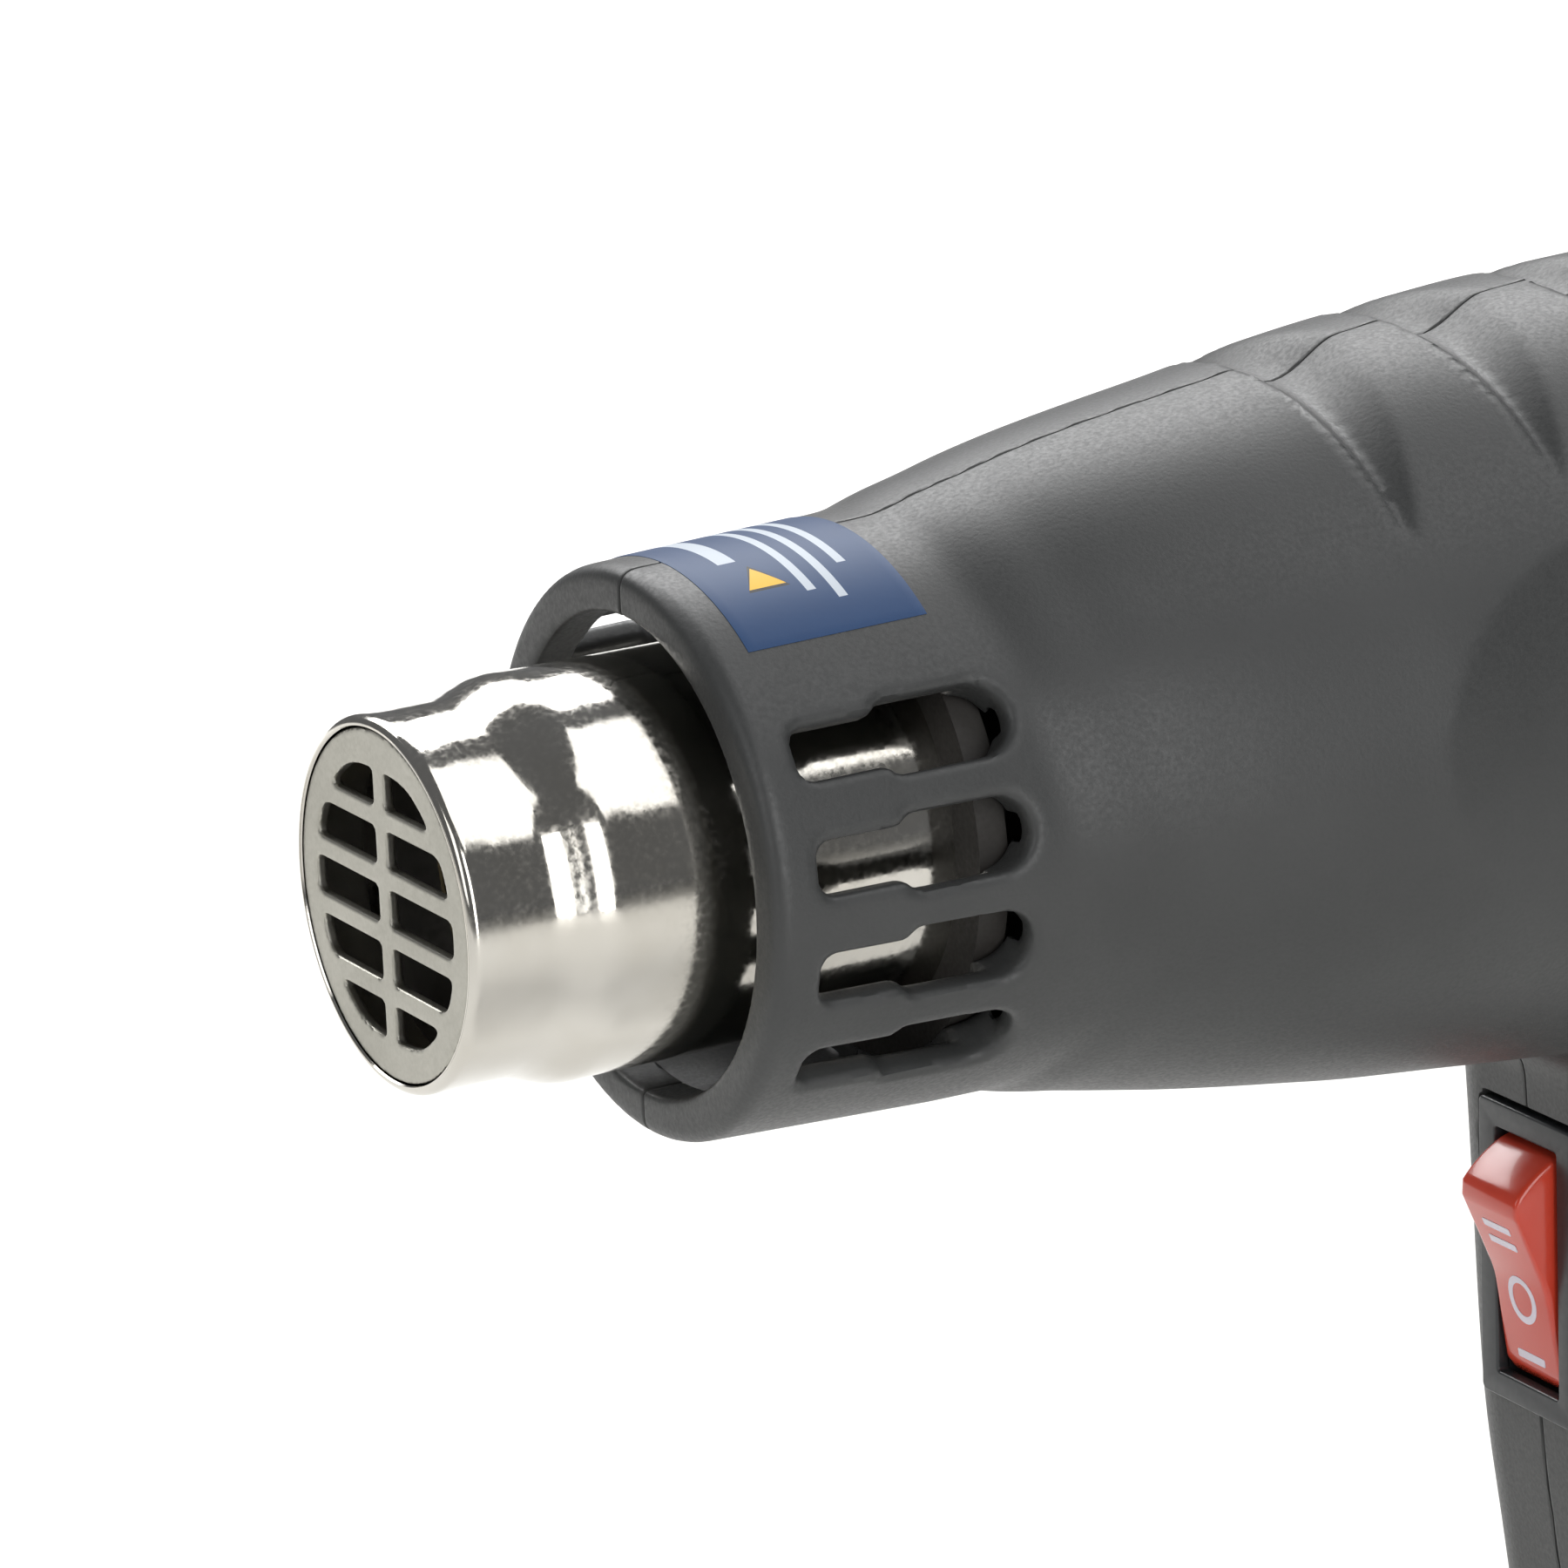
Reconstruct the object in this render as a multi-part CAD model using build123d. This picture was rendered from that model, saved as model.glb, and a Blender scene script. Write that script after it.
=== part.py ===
from build123d import *
import os
from math import cos, radians, sin, sqrt

# Heat gun. Millimetres, +Z up. The air barrel lies on the X axis and blows towards -X, the handle
# hangs down, and the housing parts on the plane y = 0. The origin is the centre of the nozzle's mouth.

# Nozzle tube, swelling from the mouth's radius to the tube's, and its grille
NOZZLE_R = 17.35
TUBE_R = 18.7
TUBE_WALL = 0.8
SWELL_X = (8.2, 14.6)
TUBE_END_X = 90.0
FLANGE_R = 24.0
FLANGE_T = 1.2
FLANGE_SCREW_PCR = 21.2
GRILLE_R = 16.2
GRILLE_SKIRT_R = 15.4
GRILLE_OPEN_R = 13.3
GRILLE_PITCH = 5.46
GRILLE_BAR = 1.9

# Housing: barrel outline as (x, radius), an arc through each three points from one even place to the next,
# then the handle as (z, front x, rear x, half width)
WALL = 2.8
RING_X = 25.4
RING_BORE_R = 22.5
CHAMBER_X = 30.0
BARREL = [(25.4, 25.2), (26.3, 26.3), (28.7, 26.8), (40, 27.25), (50, 27.7), (55.5, 28.45), (60, 29.5),
          (100, 35.8), (150, 39.0), (180, 38.6), (204.5, 37.4)]
REAR_X = BARREL[-1][0]
HANDLE = [(-10, 121.0, 168.0, 16.5), (-30, 122.6, 166.0, 16.3), (-44, 123.6, 164.0, 16.0),
          (-76, 124.8, 161.0, 15.5), (-94, 126.9, 161.5, 15.2), (-120, 131.0, 165.0, 15.2),
          (-150, 137.4, 173.0, 16.4), (-162, 140.0, 176.6, 16.2)]
HANDLE_CORNER = 8.0
HANDLE_END_Z = HANDLE[-1][0]

# Openings of the housing
SLOT_ANGLES = [31.5, 9.0, -13.5, -36.0]
FAR_SLOT_ANGLES = [40.5, 18.0, -4.5, -27.0]
SLOT_X = (30.2, 38.7, 40.6, 51.6)
SLOT_HALF = (2.4, 3.4)
SCALLOP_X = [95.6, 112.3, 129.0, 145.7, 162.4]
SCALLOP_DEPTH = 1.7
SCALLOP_R = 9.0
RECESS_AT = (116.0, 4.0)
RECESS_HALF = (23.8, 19.0)
RECESS_DEPTH = 1.5
LOUVRE_X = (117.0, 135.0)
LOUVRE_Z = [-6.0, -1.0, 4.0, 9.0, 14.0]
LOUVRE_W = 2.2

# Ribs inside the barrel that hold the inner parts, as (x from, x to, bore radius)
RIB_R = 40.0
RIBS = [(48.0, 52.0, 23.0), (99.0, 101.5, 31.2), (117.0, 119.5, 31.2), (128.0, 134.0, 34.6),
        (201.0, REAR_X, 23.8)]

# Screws that join the two halves, as (x, z), put in from the +Y side
SCREWS = [(84.0, 25.5), (84.0, -25.5), (148.0, 28.0), (150.0, -33.5), (192.0, 28.0), (192.0, -28.0),
          (134.2, -99.0), (143.2, -150.0)]
BOSS_R = 4.4
SCREW_R = 1.5
SCREW_HEAD_R = 3.0
SCREW_HEAD_T = 2.2
SCREW_SEAT_Y = 5.0
SCREW_END_Y = -9.0
SCREW_CLEAR_R = 1.75

# Rear cap
CAP_X = (204.5, 229.0)
CAP_PLATE = 3.0
CAP_R = [(204.5, 37.4), (216.0, 36.9), (225.5, 36.4), (228.2, 36.0), (229.0, 35.4)]
CAP_SCREW_R = 27.5
STAND_R = (30.9, 34.9)
STAND_X = (227.2, 232.0)

# Heater
HEATER_X = (16.0, 86.0)
CORE_R = 15.8
COIL_COUNT = 8
COIL_PCR = 11.2
COIL_R = 2.3
SLEEVE_R = (17.1, 17.7)

# Fan, duct and motor
DUCT_R = (28.8, 31.2)
DUCT_X = (91.2, 121.0)
FAN_R = 27.8
FAN_X = (106.0, 117.0)
FAN_HUB_R = 8.0
FAN_BLADES = 9
SHAFT_R = 1.585
BUSH_CLEAR = 0.05
BUSH_R = 3.0
MOTOR_R = 17.6
MOTOR_X = (122.0, 166.0)
MOTOR_WALL = 1.2
ENDCAP_X = 171.0
MOUNT_X = RIBS[3][:2]
MOUNT_R = RIBS[3][2]

# Rocker switch: its pivot, the middle of the front frame and the rocker's face in the off position
PIVOT = (128.85, -60.4)
REST_TILT = 16.0
BRIDGE_TILT = 6.0
ROCKER_HALF_Y = 4.75
ROCKER_TIP = (7.95, 10.5)
ROCKER_BEND = 6.66
BEZEL_X = (123.3, 124.8)
BEZEL_HALF = (8.0, 15.6)
SWITCH_HALF = (6.2, 14.4)
SWITCH_END_X = 149.0
PIN_R = 1.25

# Cord inlet
INLET_AT = (157.0, -162.0)
INLET_BORE_R = 3.6
INLET_R = 6.5
CLAMP_Z = -149.0
CLAMP_SCREW_R = 1.3
POST_R = 2.8


# Turn that keeps the seams of round faces away from the parting plane
OFF_SEAM = Rot(0, 0, 37)


def turned(points):
    """Solid turned about the X axis from a closed outline of (x, radius) points."""
    outline = make_face(Polyline(*[(x, 0, r) for x, r in points], close=True))
    return Rot(37, 0, 0) * revolve(outline, Axis.X)


def disc(radius, x0, x1, y=0, z=0):
    """Cylinder along X from x0 to x1."""
    return Pos((x0 + x1) / 2, y, z) * Rot(0, 90, 0) * OFF_SEAM * Cylinder(radius, x1 - x0)


def pipe(outer, inner, x0, x1):
    """Ring or tube about the X axis."""
    return disc(outer, x0, x1) - disc(inner, x0 - 1, x1 + 1)


def pin_y(radius, x, z, y0, y1):
    """Cylinder along Y from y0 to y1."""
    return Pos(x, (y0 + y1) / 2, z) * Rot(90, 0, 0) * Cylinder(radius, y1 - y0)


def block(x0, x1, y0, y1, z0, z1):
    """Box between two corners."""
    return Pos((x0 + x1) / 2, (y0 + y1) / 2, (z0 + z1) / 2) * Box(x1 - x0, y1 - y0, z1 - z0)


def around(count, start=0.0):
    """Evenly spaced angles in degrees."""
    return [start + 360.0 * i / count for i in range(count)]


def polar(radius, angle):
    """(y, z) of a point at an angle from +Y about the X axis."""
    return radius * cos(radians(angle)), radius * sin(radians(angle))


def make_nozzle_tube():
    """Thin steel tube that swells behind its mouth, with a rear flange and three screw holes."""
    start, end = SWELL_X
    inner, bore = NOZZLE_R - TUBE_WALL, TUBE_R - TUBE_WALL
    flange_x = TUBE_END_X + FLANGE_T
    edges = [
        Polyline((start, 0, inner), (0, 0, inner), (0, 0, NOZZLE_R), (start, 0, NOZZLE_R)),
        Spline((start, 0, NOZZLE_R), (end, 0, TUBE_R), tangents=[(1, 0, 0), (1, 0, 0)]),
        Polyline((end, 0, TUBE_R), (TUBE_END_X, 0, TUBE_R), (TUBE_END_X, 0, FLANGE_R),
                 (flange_x, 0, FLANGE_R), (flange_x, 0, bore), (end, 0, bore)),
        Spline((end, 0, bore), (start, 0, inner), tangents=[(-1, 0, 0), (-1, 0, 0)]),
    ]
    tube = revolve(make_face(Wire(edges_of(edges))), Axis.X)
    for angle in around(3, 90):
        tube -= disc(1.3, TUBE_END_X - 1, TUBE_END_X + 2, *polar(FLANGE_SCREW_PCR, angle))
    return tube


def edges_of(curves):
    """Flat list of the edges of several curves."""
    return [edge for curve in curves for edge in curve.edges()]


def make_nozzle_grille():
    """Round plate with a skirt, cut by a grid of openings two across and five high."""
    plate = disc(GRILLE_R, 0.2, 1.2) + pipe(GRILLE_R, GRILLE_SKIRT_R, 0.2, 3.0)
    plate += pipe(NOZZLE_R - TUBE_WALL, GRILLE_SKIRT_R, 2.0, 6.0)
    bars = block(-1, 3, -1.0, 1.0, -20, 20)
    for row in (-1.5, -0.5, 0.5, 1.5):
        z = row * GRILLE_PITCH
        bars += block(-1, 3, -20, 20, z - GRILLE_BAR / 2, z + GRILLE_BAR / 2)
    return plate - (disc(GRILLE_OPEN_R, -1, 3) - bars)


def barrel_body(inset, x_front, x_rear):
    """Solid of the barrel's outer form, drawn smaller all round by the inset."""
    points = [(x, 0, r - inset) for x, r in BARREL]
    outline = [ThreePointArc(*points[i:i + 3]) for i in range(0, len(points) - 1, 2)]
    outline.append(Polyline(points[-1], (REAR_X, 0, 0), (RING_X, 0, 0), points[0]))
    solid = Rot(37, 0, 0) * revolve(make_face(Wire(edges_of(outline))), Axis.X)
    return solid & block(x_front, x_rear, -60, 60, -60, 60)


def handle_body(inset, z_end):
    """Solid of the pistol handle, drawn smaller all round by the inset and cut off at z_end."""
    sections = []
    for z, front, rear, half in HANDLE:
        depth, width = rear - front - 2 * inset, 2 * (half - inset)
        place = Plane(origin=((front + rear) / 2, 0, z), z_dir=(0, 0, 1))
        sections.append(place * RectangleRounded(depth, width, HANDLE_CORNER - inset))
    return loft(sections) & block(100, 200, -60, 60, z_end, 0)


def slot_cutter(angle):
    """Keyhole slot along X: narrow and square at the front, wide and full round at the rear."""
    front, step, wide, rear = SLOT_X
    narrow, half = SLOT_HALF
    outline = Polyline((front, -narrow), (step, -narrow), (wide, -half), (rear - half, -half))
    outline += RadiusArc((rear - half, -half), (rear - half, half), -half)
    outline += Polyline((rear - half, half), (wide, half), (step, narrow), (front, narrow),
                        (front, -narrow))
    keyhole = extrude(Plane.XY * make_face(outline.edges()), 12)
    keyhole = fillet(keyhole.edges().filter_by(Axis.Z).sort_by(Axis.X)[:2], 1.4)
    return Rot(angle - 90, 0, 0) * Pos(0, 0, 24.2) * keyhole


def scallop_cutter(x):
    """Shallow groove over the top of the barrel that dies out down each side."""
    drop = 5.0
    major = radius_at(x) + SCALLOP_R - SCALLOP_DEPTH + drop
    ring = Pos(x, 0, -drop) * Rot(0, 90, 0) * OFF_SEAM * Torus(major, SCALLOP_R)
    return ring & block(x - 20, x + 20, -60, 60, 5, 60)


def radius_at(x):
    """Barrel radius at x, straight between the outline's points."""
    for (x0, r0), (x1, r1) in zip(BARREL, BARREL[1:]):
        if x0 <= x <= x1:
            return r0 + (r1 - r0) * (x - x0) / (x1 - x0)
    return BARREL[-1][1]


def recess_cutter():
    """Oval dish in both sides of the barrel, of even depth below the surface."""
    oval = extrude(Plane.XZ * Pos(*RECESS_AT) * Ellipse(*RECESS_HALF), 60, both=True)
    return oval - barrel_body(RECESS_DEPTH, 80, 150)


def louvre_cutter():
    """Air inlet slots through the floor of both side dishes."""
    slots = [Pos(sum(LOUVRE_X) / 2, 0, z) * Rot(90, 0, 0)
             * extrude(SlotOverall(LOUVRE_X[1] - LOUVRE_X[0], LOUVRE_W), 60, both=True) for z in LOUVRE_Z]
    return Part() + slots - disc(33.0, 100, 150)


def make_shell():
    """Whole hollow housing before it is parted, with ribs and screw bosses."""
    outer = barrel_body(0, RING_X, REAR_X) + handle_body(0, HANDLE_END_Z)
    hollow = barrel_body(WALL, CHAMBER_X, REAR_X + 1) + handle_body(WALL, HANDLE_END_Z + WALL)
    for x0, x1, bore in RIBS:
        hollow -= pipe(RIB_R, bore, x0, x1)
    hollow -= [pin_y(BOSS_R, x, z, -60, 60) for x, z in SCREWS]
    hollow -= [pin_y(POST_R, x, CLAMP_Z, -60, 0) for x in clamp_screw_places()]
    shell = outer - hollow - disc(RING_BORE_R, RING_X - 1, CHAMBER_X + 1)
    shell -= [slot_cutter(angle) for angle in FAR_SLOT_ANGLES]
    shell -= [slot_cutter(180 - angle) for angle in SLOT_ANGLES]
    shell -= [scallop_cutter(x) for x in SCALLOP_X]
    return shell - recess_cutter() - louvre_cutter()


def clamp_screw_places():
    """x of the two screws of the cord clamp."""
    return [INLET_AT[0] + side * 6.6 for side in (-1, 1)]


def switch_opening():
    """Pocket for the switch's front frame and the hole behind it."""
    x, z = PIVOT
    half_y, half_z = BEZEL_HALF
    pocket = block(110, BEZEL_X[1], -half_y, half_y, z - half_z, z + half_z)
    half_y, half_z = SWITCH_HALF
    return pocket + block(110, 135, -half_y, half_y, z - half_z, z + half_z)


def cap_screw_places():
    """(y, z) of the four screws that hold the rear cap."""
    return [polar(CAP_SCREW_R, angle) for angle in around(4, 45)]


def make_housing():
    """Left half on -Y with blind screw pilots, right half on +Y with the screws' seats."""
    x, z = INLET_AT
    cutters = [switch_opening(), Pos(x, 0, z) * OFF_SEAM * Cylinder(INLET_R, 20)]
    cutters += [disc(SCREW_R, REAR_X - 12, REAR_X + 1, *place) for place in cap_screw_places()]
    cutters += [pin_y(CLAMP_SCREW_R, x, CLAMP_Z, -8, 1) for x in clamp_screw_places()]
    for x, z in SCREWS:
        cutters.append(pin_y(SCREW_R, x, z, SCREW_END_Y - 2, 0) + pin_y(SCREW_CLEAR_R, x, z, 0, 20)
                       + pin_y(SCREW_HEAD_R + 0.3, x, z, SCREW_SEAT_Y, 60))
    shell = make_shell() - cutters
    left = shell & block(RING_X - 5, REAR_X + 5, -60, 0, HANDLE_END_Z - 5, 60)
    right = shell & block(RING_X - 5, REAR_X + 5, 0, 60, HANDLE_END_Z - 5, 60)
    return left, right


def make_screws():
    """Screws that join the halves."""
    return [pin_y(SCREW_R, x, z, SCREW_END_Y, SCREW_SEAT_Y)
            + pin_y(SCREW_HEAD_R, x, z, SCREW_SEAT_Y, SCREW_SEAT_Y + SCREW_HEAD_T) for x, z in SCREWS]


def make_rear_cap():
    """Cap with a slotted rear wall, four screw posts and a groove for the rubber ring."""
    x0, x1 = CAP_X
    outline = CAP_R + [(x1, 0), (x0, 0)]
    cap = turned(outline) - disc(CAP_R[0][1] - WALL, x0 - 1, x1 - CAP_PLATE)
    for y, z in cap_screw_places():
        cap += disc(3.8, x0, x1 - CAP_PLATE, y, z)
    for y, z in cap_screw_places():
        cap -= disc(SCREW_CLEAR_R, x0 - 1, x1 + 1, y, z)
        cap -= disc(SCREW_HEAD_R + 0.3, x1 - 2.4, x1 + 1, y, z)
    for angle in around(16):
        slot = extrude(SlotOverall(15.5, 3.2), 10, both=True)
        cap -= Rot(angle, 0, 0) * Pos(x1, 0, 15.0) * Rot(0, 90, 0) * slot
    return cap - pipe(STAND_R[1], STAND_R[0], STAND_X[0], STAND_X[1])


def make_cap_screws():
    """Screws that hold the rear cap on the housing's rear wall."""
    seat = CAP_X[1] - 2.4
    return [disc(SCREW_R, seat - 32, seat, y, z) + disc(SCREW_HEAD_R, seat, seat + 2.2, y, z)
            for y, z in cap_screw_places()]


def make_intake_screen():
    """Thin square-mesh disc that sits in the housing's rear wall."""
    mesh = disc(RIBS[-1][2], 202.0, 203.0)
    pitch, opening = 5.0, 3.8
    for row in range(-4, 5):
        for column in range(-4, 5):
            y, z = row * pitch, column * pitch
            if sqrt(y * y + z * z) < RIBS[-1][2] - 4.5:
                mesh -= block(201, 204, y - opening / 2, y + opening / 2, z - opening / 2, z + opening / 2)
    return mesh


def make_label():
    """Thin printed label wrapped over the top of the barrel's front."""
    over, under = barrel_body(-0.12, 29.8, 48.0), barrel_body(0, 29.0, 49.0)
    half_angle = 35.5
    reach = 60.0
    side, up = reach * sin(radians(half_angle)), reach * cos(radians(half_angle))
    wedge = make_face(Polyline((0, 0, 0), (0, -side, up), (0, side, up), close=True))
    return (over - under) & extrude(wedge, 60, dir=(1, 0, 0))


def make_heater():
    """Ceramic core with coils in its channels, mica sleeve, end discs and the thermal cut-out."""
    x0, x1 = HEATER_X
    places = [polar(COIL_PCR, angle) for angle in around(COIL_COUNT)]
    core = pipe(CORE_R, 2.6, x0 + 2, x1 - 2)
    for y, z in places:
        core -= disc(COIL_R, x0, x1, y, z)
    coils = [disc(COIL_R, x0, x1, y, z) for y, z in places]
    inner, outer = SLEEVE_R
    sleeve = pipe(outer, inner, x0 - 1, x1 + 2)
    ends = [pipe(inner, 2.6, x0 - 1, x0), pipe(inner, 2.6, x1, x1 + 1.5)]
    ends = [end - [disc(0.9, x0 - 3, x1 + 3, y, z) for y, z in places] for end in ends]
    cutout = block(x1 + 1.5, x1 + 4.0, -4.5, 4.5, 4.0, 13.0) + block(x1 + 4, x1 + 4.8, -3, 3, 5.5, 11.5)
    return core, coils, sleeve, ends, cutout


def make_fan_duct():
    """Duct round the fan with a cone to the heater tube and straightening vanes on a hub."""
    x0, x1 = DUCT_X
    inner, outer = DUCT_R
    duct = turned([(x0, 17.0), (x0, 24.0), (x0 + 2.2, 24.6), (x0 + 7.3, outer), (x1, outer), (x1, inner),
                   (x0 + 8.0, inner), (x0 + 2.0, 17.6)])
    duct += disc(9.9, 99.5, 104.5)
    for angle in around(7, 12):
        vane = Pos(102, 0, (9.9 + inner) / 2) * Rot(0, 0, 18) * Box(4.6, 1.2, inner - 9.1)
        duct += Rot(angle, 0, 0) * vane
    for angle in around(3, 90):
        duct -= disc(1.2, x0 - 1, x0 + 5, *polar(FLANGE_SCREW_PCR, angle))
    return duct


def make_flange_screws():
    """Screws that hold the heater tube's flange to the duct."""
    places = [polar(FLANGE_SCREW_PCR, angle) for angle in around(3, 90)]
    return [disc(1.2, TUBE_END_X, DUCT_X[0] + 3.6, *place) + disc(2.2, TUBE_END_X - 1.6, TUBE_END_X, *place)
            for place in places]


def make_fan():
    """Axial fan: a hub and slanted blades joined by a rounded nose."""
    x0, x1 = FAN_X
    fan = disc(FAN_HUB_R, x0, x1)
    for angle in around(FAN_BLADES):
        middle = Pos((x0 + x1) / 2, 0, (FAN_HUB_R + FAN_R) / 2)
        blade = middle * Rot(0, 0, 38) * Box(12.0, 1.3, FAN_R - FAN_HUB_R + 1)
        fan += Rot(angle, 0, 0) * (blade & block(x0, x1, -12, 12, 0, FAN_R))
    fan = fan & disc(FAN_R, x0, x1)
    return fan - disc(SHAFT_R, x0 - 1, x1 + 1)


def make_motor():
    """Small direct-current motor: can, magnets, end cap, bushings, brushes and terminals."""
    x0, x1 = MOTOR_X
    inner = MOTOR_R - MOTOR_WALL
    can = disc(MOTOR_R, x0, x1) - disc(inner, x0 + MOTOR_WALL, x1 + 1) - disc(BUSH_R, x0 - 1, x0 + 2)
    gap = block(x0, x1, -30, 30, -4.5, 4.5)
    magnets = (pipe(inner, 14.0, x0 + 5, x1 - 4) - gap).solids()
    end_cap = pipe(MOTOR_R, BUSH_R, x1, ENDCAP_X) - disc(inner - 1, x1 - 1, ENDCAP_X - 3)
    bushings = [pipe(BUSH_R, SHAFT_R + BUSH_CLEAR, x0 - 1.5, x0 + 2.2),
                pipe(BUSH_R, SHAFT_R + BUSH_CLEAR, ENDCAP_X - 3, ENDCAP_X + 1.5)]
    brushes = [block(162.0, 165.5, -2, 2, side * 7 - 2.3, side * 7 + 2.3) for side in (-1, 1)]
    terminals = [block(ENDCAP_X, ENDCAP_X + 6, y - 0.4, y + 0.4, -4, 2) for y in (-9.8, 9.8)]
    return can, magnets, end_cap, bushings, brushes, terminals


def make_rotor():
    """Turning parts of the motor: shaft, five-pole armature, windings and commutator."""
    shaft = disc(SHAFT_R, FAN_X[0] - 1.5, ENDCAP_X + 2.5)
    armature = disc(13.2, 128.0, 157.0)
    for angle in around(5, 18):
        armature -= block(127, 158, -1.2, 1.2, 5.0, 20.0).rotate(Axis.X, angle)
    armature -= disc(SHAFT_R, 127, 158)
    windings = [pipe(10.8, SHAFT_R, 124.6, 128.0), pipe(10.8, SHAFT_R, 157.0, 160.4)]
    commutator = pipe(4.2, SHAFT_R, 160.8, 167.4)
    return shaft, armature, windings, commutator


def make_motor_mount():
    """Plastic ring with four arms that centres the motor in the barrel."""
    x0, x1 = MOUNT_X
    mount = pipe(MOTOR_R + 2.2, MOTOR_R, x0, x1) + pipe(MOUNT_R, MOUNT_R - 2.2, x0, x1)
    for angle in around(4, 45):
        mount += Rot(angle, 0, 0) * block(x0, x1, -1.6, 1.6, MOTOR_R + 1, MOUNT_R - 1)
    return mount


def seat_ring():
    """Heat-proof ring that holds the tube clear of the plastic, with air gaps left round it."""
    return pipe(RIBS[0][2], TUBE_R, 48.5, 51.5) + pipe(TUBE_R + 1.4, TUBE_R, 51.5, 56.0)


def rocker_frame(shape):
    """Put a shape drawn about the pivot, u out of the handle and v up, where the rocker rests."""
    x, z = PIVOT
    return Pos(x, 0, z) * Rot(0, -REST_TILT, 0) * shape


def upright(points, half_y):
    """Prism across Y from an outline of (u, v) points about the pivot."""
    outline = make_face(Polyline(*[(-u, 0, v) for u, v in points], close=True))
    return extrude(outline, half_y, dir=(0, 1, 0), both=True)


def make_rocker():
    """Rocker with a shallow V face, ends rounded about the pivot, a hub and a contact finger."""
    u, v = ROCKER_TIP
    end_r = sqrt(u * u + v * v)
    far = v + 9
    corners = [(u, v), (ROCKER_BEND, 0), (u, -v), (u + 2, -far), (-1.5, -far), (-1.5, far), (u + 2, far)]
    blank = upright(corners, ROCKER_HALF_Y)
    blank = blank & pin_y(end_r, 0, 0, -20, 20)
    blank -= block(-3.2, 4, -ROCKER_HALF_Y + 1.2, ROCKER_HALF_Y - 1.2, -11.0, 11.0)
    hub = pin_y(3.2, 0, 0, -ROCKER_HALF_Y, ROCKER_HALF_Y)
    hub += upright([(5, 2.4), (5, -2.4), (0, -2.4), (0, 2.4)], 3.55)
    finger = upright([(0, 1.6), (0, -1.6), (-9.6, -0.9), (-9.6, 0.9)], 2.0)
    return rocker_frame(blank + hub + finger - pin_y(PIN_R + 0.05, 0, 0, -20, 20))


def make_switch():
    """Front frame, body, pivot pin, terminals and the seesaw contact of the switch."""
    x, z = PIVOT
    half_y, half_z = BEZEL_HALF
    mouth_y, mouth_z = ROCKER_HALF_Y + 0.45, 12.9
    bezel = block(*BEZEL_X, -half_y, half_y, z - half_z, z + half_z)
    bezel -= block(110, 130, -mouth_y, mouth_y, z - mouth_z, z + mouth_z)
    side_y, side_z = SWITCH_HALF
    body = block(BEZEL_X[1], SWITCH_END_X, -side_y, side_y, z - side_z, z + side_z)
    body -= block(100, SWITCH_END_X - 2, -mouth_y, mouth_y, z - 13.6, z + 13.6)
    body -= pin_y(PIN_R, x, z, -10, 10)
    pin = pin_y(PIN_R, x, z, -side_y, side_y)
    pivot_x = x + 13.5
    cradle = block(pivot_x, SWITCH_END_X - 1, -2.0, 2.0, z - 1.5, z + 1.5)
    cradle += pin_y(1.2, pivot_x, z, -mouth_y - 0.4, mouth_y + 0.4)
    bridge = block(pivot_x - 3.0, pivot_x - 2.0, -3.5, 3.5, z - 9.5, z + 9.5)
    for side in (-1, 1):
        bridge += block(pivot_x - 2.5, pivot_x + 1.8, side * 3.0 - 0.5, side * 3.0 + 0.5, z - 2.2, z + 2.2)
    bridge -= pin_y(1.25, pivot_x, z, -10, 10)
    bridge = Pos(pivot_x, 0, z) * Rot(0, BRIDGE_TILT, 0) * Pos(-pivot_x, 0, -z) * bridge
    x0, x1 = SWITCH_END_X, SWITCH_END_X + 7.5
    tabs = [block(x0, x1, y - 0.4, y + 0.4, z + step - 2.4, z + step + 2.4)
            for y in (-3.2, 3.2) for step in (-9, 0, 9)]
    return bezel, body + cradle, pin, bridge, tabs


def make_electronics():
    """Board in the handle with its capacitor, choke and rectifier diodes."""
    board = block(140.0, 157.0, 0.0, 1.6, -126.0, -84.0)
    capacitor = fillet(block(142, 155, 1.6, 8.6, -98, -87).edges().filter_by(Axis.Y), 1.5)
    choke = Pos(148.5, 4.4, -107) * Rot(90, 0, 0) * (Cylinder(6.0, 5.6) - Cylinder(2.6, 8))
    diodes = [disc(1.35, 144.5, 152.5, 2.95, z) for z in (-115.0, -118.3, -121.6, -124.9)]
    return board, capacitor, choke, diodes


def make_cord_entry():
    """Grommet in the handle's end, clamp bar with its screws, and terminal block."""
    x, z = INLET_AT
    inlet = Pos(x, 0, z - 1.25) * Cylinder(8.4, 2.5) + Pos(x, 0, z + WALL / 2) * Cylinder(INLET_R, WALL)
    inlet += Pos(x, 0, z + WALL + 1.5) * Cylinder(8.4, 3.0)
    inlet -= Pos(x, 0, z) * Cylinder(INLET_BORE_R, 40)
    clamp = block(x - 9, x + 9, 3.0, 5.6, CLAMP_Z - 3.5, CLAMP_Z + 3.5)
    clamp -= [pin_y(CLAMP_SCREW_R, place, CLAMP_Z, 0, 10) for place in clamp_screw_places()]
    clamp_screws = [pin_y(CLAMP_SCREW_R, place, CLAMP_Z, -6, 5.6) + pin_y(2.5, place, CLAMP_Z, 5.6, 7.6)
                    for place in clamp_screw_places()]
    terminal = block(143, 159, -6, 6, -139, -130) - [pin_y(1.6, x, -134.5, 0, 10) for x in (147, 155)]
    return inlet, clamp, clamp_screws, terminal


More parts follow.
